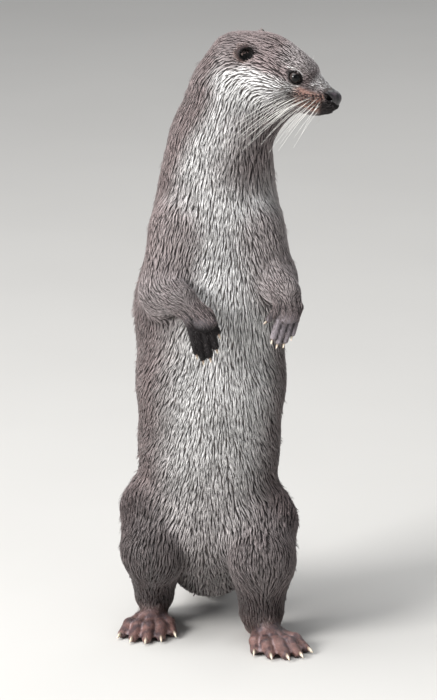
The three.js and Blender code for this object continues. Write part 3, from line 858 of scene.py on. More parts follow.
class Net:
    """Wraps a surface round the inside of a field, on a grid of uneven steps."""

    def __init__(self, value: Callable[[Array], Array], lines: Sequence[Array], block: int = 4) -> None:
        """Samples the field near its surface.

        Args:
            value: distance outside the surface for an array of points.
            lines: the grid lines along x, y and z.
            block: how many steps a side the coarse blocks have that find where the surface runs.
        """
        self.value, self.lines = value, lines
        coarse = [line[::block] for line in lines]
        shape = tuple(len(line) for line in coarse)
        grid = np.stack(np.meshgrid(*coarse, indexing="ij"), axis=-1)
        rough = self._in_turns(grid.reshape(-1, 3)).reshape(shape)
        reach = 1.1 * max(float(np.diff(line).max()) for line in coarse)
        cells = [rough[i:shape[0] - 1 + i, j:shape[1] - 1 + j, k:shape[2] - 1 + k] for i, j, k in CORNERS]
        live = np.any([np.abs(cell) < reach for cell in cells], axis=0)
        for axis in range(3):
            live = np.repeat(live, block, axis=axis)
        nodes = np.zeros([n + 1 for n in live.shape], bool)
        for i, j, k in CORNERS:
            nodes[i:i + live.shape[0], j:j + live.shape[1], k:k + live.shape[2]] |= live
        far = rough
        for axis in range(3):
            far = np.repeat(far, block, axis=axis)
        self.values = far[:nodes.shape[0], :nodes.shape[1], :nodes.shape[2]].astype(np.float32)
        at = np.nonzero(nodes)
        points = np.stack([line[i] for line, i in zip(lines, at)], axis=1)
        self.values[at] = self._in_turns(points)

    def _in_turns(self, points: Array, turn: int = 150_000) -> Array:
        """The field at many points, a share at a time."""
        return np.concatenate([self.value(points[i:i + turn]) for i in range(0, len(points), turn)])

    def wrap(self) -> tuple[Array, Array]:
        """Makes the surface.

        Returns:
            Its vertices and its four-cornered faces, which point outwards.
        """
        values = self.values
        inside = values < 0
        n = [size - 1 for size in values.shape]
        count = sum(inside[i:n[0] + i, j:n[1] + j, k:n[2] + k].astype(np.uint8) for i, j, k in CORNERS)
        cells = np.stack(np.nonzero((count > 0) & (count < 8)), axis=1)
        total, hits = np.zeros((len(cells), 3)), np.zeros(len(cells))
        for corner in range(8):
            a = cells + [corner & 1, corner >> 1 & 1, corner >> 2 & 1]
            for axis in range(3):
                if corner >> axis & 1:
                    continue
                b = a + np.eye(3, dtype=int)[axis]
                va, vb = values[tuple(a.T)], values[tuple(b.T)]
                cut = (va < 0) != (vb < 0)
                t = np.where(cut, va / np.where(cut, va - vb, 1), 0)
                pa = np.stack([line[i] for line, i in zip(self.lines, a.T)], axis=1)
                pb = np.stack([line[i] for line, i in zip(self.lines, b.T)], axis=1)
                total += np.where(cut[:, None], pa + t[:, None] * (pb - pa), 0)
                hits += cut
        number = np.full(count.shape, -1, np.int32)
        number[tuple(cells.T)] = np.arange(len(cells))
        faces = []
        for axis in range(3):
            u, v = np.eye(3, dtype=int)[(axis + 1) % 3], np.eye(3, dtype=int)[(axis + 2) % 3]
            first = inside[tuple(slice(0, size - (i == axis)) for i, size in enumerate(inside.shape))]
            second = inside[tuple(slice(i == axis, None) for i in range(3))]
            for flip, change in ((False, first & ~second), (True, ~first & second)):
                e = np.stack(np.nonzero(change), axis=1)
                ring = [number[tuple((e - offset).T)] for offset in (u + v, v, 0 * u, u)]
                faces.append(np.stack(ring[::-1] if flip else ring, axis=1))
        return total / hits[:, None], np.concatenate(faces)


def tube_faces(rings: int, sides: int, first: int, start: int, end: int) -> Array:
    """The triangles of a tube that a point closes at either end.

    Args:
        rings: how many rings of points it has.
        sides: how many points a ring has.
        first: the number of the first ring's first point.
        start: the number of the point before the first ring.
        end: the number of the point after the last ring.

    Returns:
        One row of vertex numbers per triangle.
    """
    faces = []
    last = first + (rings - 1) * sides
    for s in range(sides):
        t = (s + 1) % sides
        faces.append([start, first + t, first + s])
        for a in range(first + s, last, sides):
            b = a - s + t
            faces += [[a, b, b + sides], [a, b + sides, a + sides]]
        faces.append([end, last + s, last + t])
    return np.array(faces)


def settle(p: Array, value: Callable[[Array], Array], most: float) -> Array:
    """Moves points one bounded step onto the surface of a field.

    Args:
        p: the points.
        value: the field.
        most: the longest step.

    Returns:
        The moved points.
    """
    moved = []
    for i in range(0, len(p), 100_000):
        part = p[i:i + 100_000]
        g = slope(value, part)
        steep = np.maximum(np.linalg.norm(g, axis=1), 0.3)
        step = np.clip(value(part) / steep, -most, most)
        moved.append(part - g / steep[:, None] * step[:, None])
    return np.concatenate(moved)


def corner_normals(points: Array, faces: Array) -> Array:
    """Outward normals of the vertices of a mesh, larger faces counting more.

    Args:
        points: the vertices.
        faces: the four-cornered faces.

    Returns:
        A normal for each vertex.
    """
    across = np.cross(points[faces[:, 2]] - points[faces[:, 0]], points[faces[:, 3]] - points[faces[:, 1]])
    normals = np.zeros_like(points)
    for corner in range(4):
        np.add.at(normals, faces[:, corner], across)
    return unit(normals)


# ---- markings and lie of the coat


# how dark whole parts of the legs are; much of it is painted shade: the shanks and the right thigh are
# darkened as shadow low on the body, and the right forearm is painted darker than the left one
DARK_PARTS = {"forepaw_left": 0.3, "forearm_left": 0.1, "forearm_right": 0.28, "thigh_left": 0.24,
              "thigh_right": 0.62, "shank_left": 0.68, "shank_right": 0.68}


@dataclass(frozen=True)
class Markings:
    """Where the coat is pale, warm and dark. Angles are degrees round the trunk from the midline below.

    A place on the head is given forward of its middle, above it (up) or below it (down), in millimetres.
    """

    belly: tuple[float, float] = (24, 68)  # pale up to the first angle, brown past the second
    throat: tuple[float, float] = (58, 92)
    # how far the middle of the pale side turns to the animal's left, by height
    turns: tuple[tuple[float, float], ...] = ((70, -4), (230, 6), (330, 14), (420, 22), (480, 22), (560, 48))
    jowl_shade: tuple[Stretch, float, float] = (Stretch(26, 52, 90, 135), 40, 28)  # painted shade under the jaw: down; middle, spread
    pad: tuple[Stretch, Stretch] = (Stretch(49, 59, 80, 86), Stretch(5, 9, 24, 29))  # forward, down
    bridge: Stretch = Stretch(62, 70, 84, 89)  # forward; the pale of the bridge is a painted highlight
    brow: Stretch = Stretch(24, 40, 68, 78)
    wrist: tuple[float, float] = (362, 344)  # heights where the dark of the right forepaw starts and is full; this paw is painted darker than the left one as painted shade, and its lighter wrist is partly a painted sheen
    flank_shade: tuple[float, float] = (28, 70)  # angles on the animal's left where painted shade darkens its flank, the side away from the light
    flank_top: tuple[float, float] = (290, 370)

    def bearing(self, flesh: Flesh, p: Array) -> Array:
        """The angle of each point round the trunk from the middle of its pale side, in degrees.

        Args:
            flesh: the body.
            p: the points.

        Returns:
            An angle for each, more than 0 on the animal's left.
        """
        off = p - flesh.bones.spine_at(p[:, 2])
        turn = np.interp(p[:, 2], *zip(*self.turns))
        angle = np.degrees(np.arctan2(off[:, 0], -off[:, 1])) - turn
        return (angle + 180) % 360 - 180

    def at(self, flesh: Flesh, p: Array, shares: Array) -> Array:
        """The marks at each point.

        Args:
            flesh: the body.
            p: points on or near its skin.
            shares: each part's share in them.

        Returns:
            Three columns from 0 to 1: pale, warm and dark.
        """
        share = {name: shares[i] for name, i in flesh.index.items()}
        for kind in ("upper_arm", "forearm", "thigh", "shank", "hind_foot"):
            share[kind] = share[f"{kind}_left"] + share[f"{kind}_right"]
        share["face"] = share["head"] + share["lower_jaw"]
        share["trunk"] = share["chest"] + share["abdomen"] + share["rump"]
        share["tail"] = share["tail_root"] + share["tail_middle"] + share["tail_tip"]
        f, _, u = HEAD.local(p).T
        # painted shade under the jaw: it takes the pale out of the throat and darkens it a little
        under, middle, spread = self.jowl_shade
        jowl = np.exp(-((f - middle) / spread) ** 2) * under.of(-u)
        # painted shade in the furrows between the fingers of the forepaws: there the gaps lose their pale and
        # turn dark. On the hind feet the gaps lose their pale and turn warmer instead.
        gaps = flesh.gaps(p, shares)
        toes = share["hind_foot"] * (1 - gaps)
        webs = share["hind_foot"] - toes
        pad = self.pad[0].of(f) * self.pad[1].of(-u) * share["face"]
        bearing = self.bearing(flesh, p)
        pale = self._pale(share, p, np.abs(bearing)) * (1 - gaps) * (1 - 0.85 * jowl)
        warm = 0.72 * pad + (0.8 - 0.4 * rise(p[:, 2], 12, 30)) * toes + 0.4 * webs
        dark = (self._dark(share, p, bearing) + 0.44 * toes + 0.7 * gaps * (1 - share["hind_foot"])
                + 0.18 * jowl)
        return np.clip(np.stack([pale, warm, dark], axis=1), 0, 1)

    def _pale(self, share: dict[str, Array], p: Array, side: Array) -> Array:
        """How pale the coat is: cheeks, throat and belly, the inner sides of the legs, brow and bridge, whose
        pale is a painted highlight.

        Args:
            share: each part's share in each point, by name.
            p: the points.
            side: how far each lies from the middle of the pale side, in degrees.

        Returns:
            A number from 0 for each point.
        """
        f, _, u = HEAD.local(p).T
        edge = -u - 3 - 0.5 * np.maximum(6 - f, 0) - 0.12 * np.maximum(f - 20, 0)
        cheek = 0.92 * rise(edge, -4, 5) * (1 - 0.75 * rise(f, 46, 60))
        jaw = 0.85 - 0.55 * rise(f, 46, 62)
        trunk = (1 - rise(side, *self.belly)) * (0.42 + 0.58 * rise(p[:, 2], 70, 250))
        pale = (share["head"] * cheek + share["lower_jaw"] * jaw
                + share["neck"] * (1 - rise(side, *self.throat)) + share["trunk"] * trunk
                + share["upper_arm"] * 0.25 * (1 - rise(side, 40, 90)) + share["forearm"] * 0.3
                + share["thigh"] * 0.35 * (1 - rise(side, 30, 75))
                + share["tail"] * 0.35 * (1 - rise(p[:, 2], 4, 22)))
        # painted highlight: the bridge of the muzzle is made pale
        bridge = 0.85 * self.bridge.of(f) * rise(u, -6, -1)
        brow = 0.32 * self.brow.of(f) * rise(u, 2, 14)
        return np.maximum(pale, np.maximum(bridge, brow) * share["face"])

    def _dark(self, share: dict[str, Array], p: Array, bearing: Array) -> Array:
        """How dark the coat is: legs, left flank, lips, the band under the eye, crown and nape. The dark of
        the left flank and much of the legs' is painted shade.

        Args:
            share: each part's share in each point, by name.
            p: the points.
            bearing: the signed angle of each round the trunk.

        Returns:
            A number from 0 for each point.
        """
        f, _, u = HEAD.local(p).T
        lips = rise(f, 79, 84) * rise(-u, 9, 13) + rise(f, 85, 90)
        band = np.exp(-((f - 64) / 8) ** 2 - ((u + 4) / 3) ** 2)
        crown = rise(u, 0, 15) * (1 - rise(f, 26, 46))
        # painted shade on the animal's left flank, the side away from the light
        flank_shade = rise(bearing, *self.flank_shade) * (1 - rise(p[:, 2], *self.flank_top))
        # painted shade: the right forepaw is darker than the left, lighter towards the wrist partly as a
        # painted sheen
        wrist = 0.12 + 0.88 * rise(-p[:, 2], -self.wrist[0], -self.wrist[1])
        return (sum(part * share[name] for name, part in DARK_PARTS.items())
                + share["face"] * (lips + 0.45 * band + 0.12 * crown + 0.14 * (1 - rise(f, -30, 0)))
                + 0.24 * share["neck"] * rise(np.abs(bearing), 85, 125)
                + 0.52 * share["trunk"] * flank_shade + share["forepaw_right"] * wrist)


class Lie:
    """Which way the coat lies."""

    def __init__(self, flesh: Flesh, markings: Markings) -> None:
        """Keeps the body, and the markings for their bearings round the trunk."""
        self.flesh, self.markings = flesh, markings

    def _head(self, p: Array) -> Array:
        """Back from the nose, a little upward behind the eye, and more downward towards the throat.

        Args:
            p: the points.

        Returns:
            A direction for each.
        """
        f, _, u = HEAD.local(p).T
        sink = 0.10 + 0.22 * rise(-u, -10, 12) + 0.55 * rise(-u, 20, 38)
        sink += 1.1 * (1 - rise(f, -58, -4)) * rise(-u, -20, 10)
        sink -= 0.5 * np.exp(-((f - 38) ** 2 + (u + 6) ** 2) / 150)
        return unit(-HEAD.axes[0][None, :] - sink[:, None] * UP)

    def at(self, p: Array, normals: Array, shares: Array) -> Array:
        """The lie of the coat along the skin.

        Args:
            p: points on the skin.
            normals: its outward normals there.
            shares: each part's share in them.

        Returns:
            A direction along the skin for each point.
        """
        flow = np.zeros_like(p)
        bearing = np.radians(self.markings.bearing(self.flesh, p))
        around = unit(np.cross(UP, normals) + 1e-9)
        fan = 0.55 * np.sin(bearing) * (1 - rise(p[:, 2], 380, 470))
        for i, part in enumerate(self.flesh.parts):
            near = shares[i] > 0.01
            if not near.any():
                continue
            if part.name in ("head", "lower_jaw"):
                run = self._head(p[near])
            else:
                run = unit(part.run(p[near]) + 1e-9)
            if REGIONS[part.name] in HALVED:
                run = unit(run + fan[near, None] * around[near])
            flow[near] += shares[i, near, None] * run
        flow -= normals * np.sum(flow * normals, axis=1)[:, None]
        return unit(flow)


# ---- unwrapping


@dataclass(frozen=True, eq=False)
class Chart:
    """A stretch of the skin unrolled round a middle line, and its rectangle of the map."""

    line: Sequence[Triple | Array]
    corner: tuple[float, float]
    size: tuple[float, float]

    def unroll(self, p: Array) -> Array:
        """Unrolls points round the line.

        Args:
            p: the points.

        Returns:
            Two columns from 0 to 1: turn round the line, and distance along it.
        """
        line = np.array(self.line, float)
        starts, steps = line[:-1], np.diff(line, axis=0)
        lengths = np.linalg.norm(steps, axis=1)
        before = np.concatenate([[0], np.cumsum(lengths)])
        t = np.stack([(p - a) @ d / l ** 2 for a, d, l in zip(starts, steps, lengths)])
        held = np.clip(t, 0, 1)
        off = p[None] - (starts[:, None] + held[..., None] * steps[:, None])
        best = np.linalg.norm(off, axis=2).argmin(0)
        pick = (best, np.arange(len(p)))
        beyond = (best == 0) & (t[pick] < 0) | (best == len(steps) - 1) & (t[pick] > 1)
        ends = np.where(beyond, t[pick], held[pick])
        along = (before[best] + ends * lengths[best] + 45) / (before[-1] + 90)
        axis = unit(steps)[best]
        first = unit(np.cross(axis, np.array([0.35, 0.2, -0.9]) + 1e-6))
        second = np.cross(axis, first)
        turn = np.arctan2(np.sum(off[pick] * second, 1), np.sum(off[pick] * first, 1)) / (2 * math.pi) + 0.5
        return np.stack([turn, np.clip(along, 0, 1)], axis=1)

    def place(self, unrolled: Array) -> Array:
        """Puts unrolled places into the chart's rectangle."""
        margin = 0.03
        return np.array(self.corner) + np.array(self.size) * (margin + (1 - 2 * margin) * unrolled)


class Atlas:
    """The unwrap of the whole skin, one chart for each stretch of the body."""

    def __init__(self, flesh: Flesh) -> None:
        """Lays out the charts along the middle lines of the skeleton.

        Args:
            flesh: the body.
        """
        b = flesh.bones
        self.charts = {
            "trunk": Chart([k.at for k in b.spine()], (0, 0), (0.5, 1)),
            "tail": Chart([k.at for k in b.tail], (0.5, 0), (0.17, 1)),
            "head": Chart([HEAD.place(-20, 0, -12), HEAD.place(85, 0, -14)], (0.67, 0.62), (0.33, 0.38)),
        }
        for i, (side, arm) in enumerate(b.forelegs):
            line = [arm.shoulder.at, arm.elbow.at, arm.wrist.at, arm.knuckles, arm.fingertips]
            self.charts[f"foreleg_{side}"] = Chart(line, (0.67 + 0.165 * i, 0), (0.165, 0.31))
        for i, (side, leg) in enumerate(b.hind_legs):
            toe = flesh.digits[f"hind_{side}"][2].tip
            line = [leg.hip.at, leg.knee.at, leg.ankle.at, toe]
            self.charts[f"hind_leg_{side}"] = Chart(line, (0.67 + 0.165 * i, 0.31), (0.165, 0.31))
        names = list(self.charts)
        self.owner = np.array([names.index(self._chart_name(part.name)) for part in flesh.parts])

    @staticmethod
    def _chart_name(part: str) -> str:
        """The chart that holds a part."""
        region = REGIONS[part]
        return region.value if region.value in ("head", "tail") or "leg" in region.value else "trunk"

    def corners(self, points: Array, faces: Array, shares: Array) -> Array:
        """Map places for every corner of every face, each face kept whole across a chart's seam.

        Args:
            points: the vertices.
            faces: the faces.
            shares: each part's share in each vertex.

        Returns:
            A place for each corner, face by face.
        """
        owners = self.owner[shares.argmax(0)][faces[:, 0]]
        places = np.zeros((*faces.shape, 2))
        for i, chart in enumerate(self.charts.values()):
            mine = owners == i
            if not mine.any():
                continue
            unrolled = chart.unroll(points[faces[mine]].reshape(-1, 3)).reshape(-1, faces.shape[1], 2)
            unrolled[:, :, 0] -= np.round(unrolled[:, :, 0] - unrolled[:, :1, 0])
            places[mine] = chart.place(unrolled)
        return places.reshape(-1, 2)

    def roots(self, points: Array, shares: Array) -> Array:
        """Map places for single points."""
        return self.corners(points, np.arange(len(points))[:, None], shares)


# ---- finishes


class Nodes:
    """Builds one material's nodes in few words."""

    def __init__(self, name: str) -> None:
        """Starts a material with its surface shader.

        Args:
            name: the material's name.
        """
        self.material = bpy.data.materials.new(name)
        self.material.use_nodes = True
        self.tree = self.material.node_tree
        self.tree.nodes.clear()
        output = self.tree.nodes.new("ShaderNodeOutputMaterial")
        self.shader = self.tree.nodes.new("ShaderNodeBsdfPrincipled")
        self.tree.links.new(self.shader.outputs[0], output.inputs[0])

    def add(self, kind: str, inputs: dict[str | int, object] | None = None,
            **settings: object) -> bpy.types.Node:
        """Adds a node.

        Args:
            kind: the node's type, without its ShaderNode prefix.
            inputs: sockets by name or number, each given a value or linked to a socket.
            settings: properties of the node.

        Returns:
            The node.
        """
        node = self.tree.nodes.new("ShaderNode" + kind)
        for key, value in settings.items():
            setattr(node, key, value)
        for key, value in (inputs or {}).items():
            self.feed(node.inputs[key], value)
        return node

    def feed(self, socket: bpy.types.NodeSocket, value: object) -> None:
        """Links a socket to another, or sets its value.

        Args:
            socket: the socket.
            value: another socket, a number, or a colour in display values.
        """
        if isinstance(value, bpy.types.NodeSocket):
            self.tree.links.new(value, socket)
        else:
            socket.default_value = linear(value) if isinstance(value, tuple) else value

    def value(self, name: str) -> bpy.types.NodeSocket:
        """A stored number of the surface."""
        return self.add("Attribute", attribute_name=name).outputs["Fac"]

    def marks(self) -> list[bpy.types.NodeSocket]:
        """The pale, warm and dark marks of the surface."""
        colour = self.add("Attribute", attribute_name="marks").outputs["Color"]
        return list(self.add("SeparateColor", {0: colour}).outputs)[:3]

    def mix(self, share: object, a: object, b: object, blend: str = "MIX") -> bpy.types.NodeSocket:
        """A mix of two colours, laid one over the other."""
        node = self.add("Mix", {0: share, 6: a, 7: b}, data_type="RGBA", blend_type=blend)
        return node.outputs[2]

    def tinted(self, colour: object, share: object) -> bpy.types.NodeSocket:
        """A colour made lighter or darker by a number."""
        grey = self.add("CombineColor", {i: share for i in range(3)}).outputs[0]
        return self.mix(1.0, colour, grey, "MULTIPLY")

    def math(self, operation: str, a: object, b: object) -> bpy.types.NodeSocket:
        """A number made of two others."""
        return self.add("Math", {0: a, 1: b}, operation=operation).outputs[0]

    def span(self, value: object, low: float, high: float, to_low: float,
             to_high: float) -> bpy.types.NodeSocket:
        """A number carried smoothly from one span to another and held within it."""
        sockets = {0: value, 1: low, 2: high, 3: to_low, 4: to_high}
        return self.add("MapRange", sockets, interpolation_type="SMOOTHSTEP").outputs[0]

    def noise(self, scale: float, detail: float = 3.0) -> bpy.types.NodeSocket:
        """Cloudy noise fixed to the object."""
        place = self.add("TexCoord").outputs["Object"]
        return self.add("TexNoise", {"Vector": place, "Scale": scale, "Detail": detail}).outputs["Fac"]

    def bump(self, height: bpy.types.NodeSocket, strength: float, distance: float) -> None:
        """Gives the surface a bump from a height."""
        node = self.add("Bump", {"Strength": strength, "Distance": distance, "Height": height})
        self.tree.links.new(node.outputs[0], self.shader.inputs["Normal"])

    def set(self, **values: object) -> None:
        """Sets or links sockets of the surface shader, named with _ for spaces."""
        for name, value in values.items():
            self.feed(self.shader.inputs[name.replace("_", " ")], value)


@dataclass(frozen=True)
class CoatFinish:
    """Wet fur: strands dark at the root and pale at the tip, in the colours of their place."""

    brown: Colour = (168, 151, 150)
    pale: Colour = (253, 252, 251)
    warm: Colour = (206, 160, 134)
    dark: Colour = (44, 37, 38)
    root: Colour = (60, 50, 49)
    roughness: float = 0.4

    def make(self) -> bpy.types.Material:
        """Builds the material.

        Returns:
            The material.
        """
        n = Nodes("wet_fur")
        pale, warm, dark = n.marks()
        tip = n.mix(pale, self.brown, self.pale)
        tip = n.mix(warm, tip, self.warm)
        tip = n.mix(dark, tip, self.dark)
        along = n.span(n.value("along"), 0.15, 0.85, 0.0, 1.0)
        kept = n.span(pale, 0.0, 1.0, 0.2, 0.5)
        colour = n.mix(along, n.mix(kept, self.root, tip), tip)
        light = n.span(n.value("shade"), 0.0, 1.0, 0.66, 1.2)
        cloud = n.span(n.noise(26.0), 0.3, 0.7, 0.86, 1.12)
        n.set(Base_Color=n.tinted(colour, n.math("MULTIPLY", light, cloud)), Roughness=self.roughness)
        n.set(Specular_IOR_Level=0.55, Sheen_Weight=0.12, Sheen_Roughness=0.45)
        return n.material


@dataclass(frozen=True)
class SkinFinish:
    """Skin and the wool close to it: dark under the coat, bare on the feet, near-black round the eyes, and
    near-black too as painted shade in the hollows of the ears, in the nostrils and in the line of the mouth.
    """

    brown: Colour = (54, 44, 43)
    pale: Colour = (124, 117, 114)
    bare: Colour = (146, 137, 142)
    warm: Colour = (152, 108, 97)
    blotch: Colour = (88, 58, 58)
    dark: Colour = (20, 16, 17)
    # near-black: the lids' own dark skin, and painted shade in the ear hollows, nostrils and mouth line
    deep: Colour = (9, 7, 8)

    def make(self) -> bpy.types.Material:
        """Builds the material.

        Returns:
            The material.
        """
        n = Nodes("skin")
        pale, warm, dark = n.marks()
        colour = n.mix(pale, self.brown, self.pale)
        colour = n.mix(n.value("wet"), colour, self.bare)
        blotch = n.span(n.noise(110.0), 0.45, 0.62, 0.0, 1.0)
        colour = n.mix(warm, colour, n.mix(blotch, self.warm, self.blotch))
        colour = n.mix(dark, colour, self.dark)
        # the deep mark: dark lids, and painted shade in the ear hollows, nostrils and mouth line
        colour = n.mix(n.value("deep"), colour, self.deep)
        fine, cloud = n.noise(900.0), n.span(n.noise(90.0), 0.3, 0.7, 0.72, 1.28)
        grain = n.span(fine, 0.3, 0.7, 0.75, 1.2)
        roughness = n.span(n.value("wet"), 0.0, 1.0, 0.6, 0.3)
        n.set(Base_Color=n.tinted(colour, n.math("MULTIPLY", grain, cloud)), Roughness=roughness)
        n.set(Specular_IOR_Level=n.span(dark, 0.0, 1.0, 0.5, 0.2))
        n.bump(n.math("ADD", fine, n.noise(260.0)), 0.8, 0.0012)
        return n.material


@dataclass(frozen=True)
class EyeFinish:
    """A dark wet eye: black pupil, deep brown iris and a darker rim under a clear cornea."""

    pupil: Colour = (4, 4, 5)
    iris: Colour = (58, 50, 48)
    rim: Colour = (9, 7, 7)

    def make(self) -> bpy.types.Material:
        """Builds the material.

        Returns:
            The material.
        """
        n = Nodes("eye")
        out = n.value("off_axis")
        streaks = n.span(n.noise(1400.0, 2.0), 0.35, 0.65, 0.7, 1.25)
        iris = n.tinted(self.iris, streaks)
        colour = n.mix(n.span(out, 0.36, 0.46, 0.0, 1.0), self.pupil, iris)
        colour = n.mix(n.span(out, 0.62, 0.8, 0.0, 1.0), colour, self.rim)
        n.set(Base_Color=colour, Roughness=0.06, IOR=1.376)
        return n.material


@dataclass(frozen=True)
class NoseFinish:
    """The bare pad of the nose: near-black, finely pebbled and wet."""

    pad: Colour = (17, 14, 16)
    worn: Colour = (92, 77, 86)

    def make(self) -> bpy.types.Material:
        """Builds the material.

        Returns:
            The material.
        """
        n = Nodes("nose_pad")
        place = n.add("TexCoord").outputs["Object"]
        pebbles = n.add("TexVoronoi", {"Vector": place, "Scale": 1100.0}).outputs["Distance"]
        share = n.span(n.noise(220.0), 0.4, 0.75, 0.0, 0.6)
        n.set(Base_Color=n.mix(share, self.pad, self.worn), Roughness=0.3)
        n.set(Specular_IOR_Level=0.6, Coat_Weight=0.5, Coat_Roughness=0.12)
        n.bump(pebbles, 0.7, 0.0006)
        return n.material


@dataclass(frozen=True)
class ClawFinish:
    """Horn: pale and slightly clear at the point, browner at the root."""

    root: Colour = (120, 98, 84)
    point: Colour = (226, 212, 192)

    def make(self) -> bpy.types.Material:
        """Builds the material.

        Returns:
            The material.
        """
        n = Nodes("claw")
        along = n.span(n.value("along"), 0.1, 0.7, 0.0, 1.0)
        grain = n.span(n.noise(700.0), 0.3, 0.7, 0.85, 1.1)
        horn = n.mix(along, self.root, self.point)
        n.set(Base_Color=n.tinted(horn, grain), Roughness=0.3)
        n.set(Subsurface_Weight=0.1, Subsurface_Scale=0.001)
        n.bump(n.noise(900.0, 2.0), 0.2, 0.0003)
        return n.material


@dataclass(frozen=True)
class WhiskerFinish:
    """Stiff pale whiskers, darker where they leave the skin."""

    root: Colour = (58, 47, 44)
    tip: Colour = (246, 244, 238)

    def make(self) -> bpy.types.Material:
        """Builds the material.

        Returns:
            The material.
        """
        n = Nodes("whisker")
        along = n.span(n.value("along"), 0.06, 0.3, 0.0, 1.0)
        n.set(Base_Color=n.mix(along, self.root, self.tip), Roughness=0.35)
        n.set(Specular_IOR_Level=0.6)
        return n.material


@dataclass(frozen=True)
class FloorFinish:
    """A plain pale floor."""

    colour: Colour = (206, 204, 200)
    stain: Colour = (150, 148, 144)

    def make(self) -> bpy.types.Material:
        """Builds the material.

        Returns:
            The material.
        """
        n = Nodes("floor")
        share = n.span(n.noise(3.0, 2.0), 0.3, 0.7, 0.0, 0.04)
        n.set(Base_Color=n.mix(share, self.colour, self.stain), Roughness=0.85)
        return n.material


# ---- skin


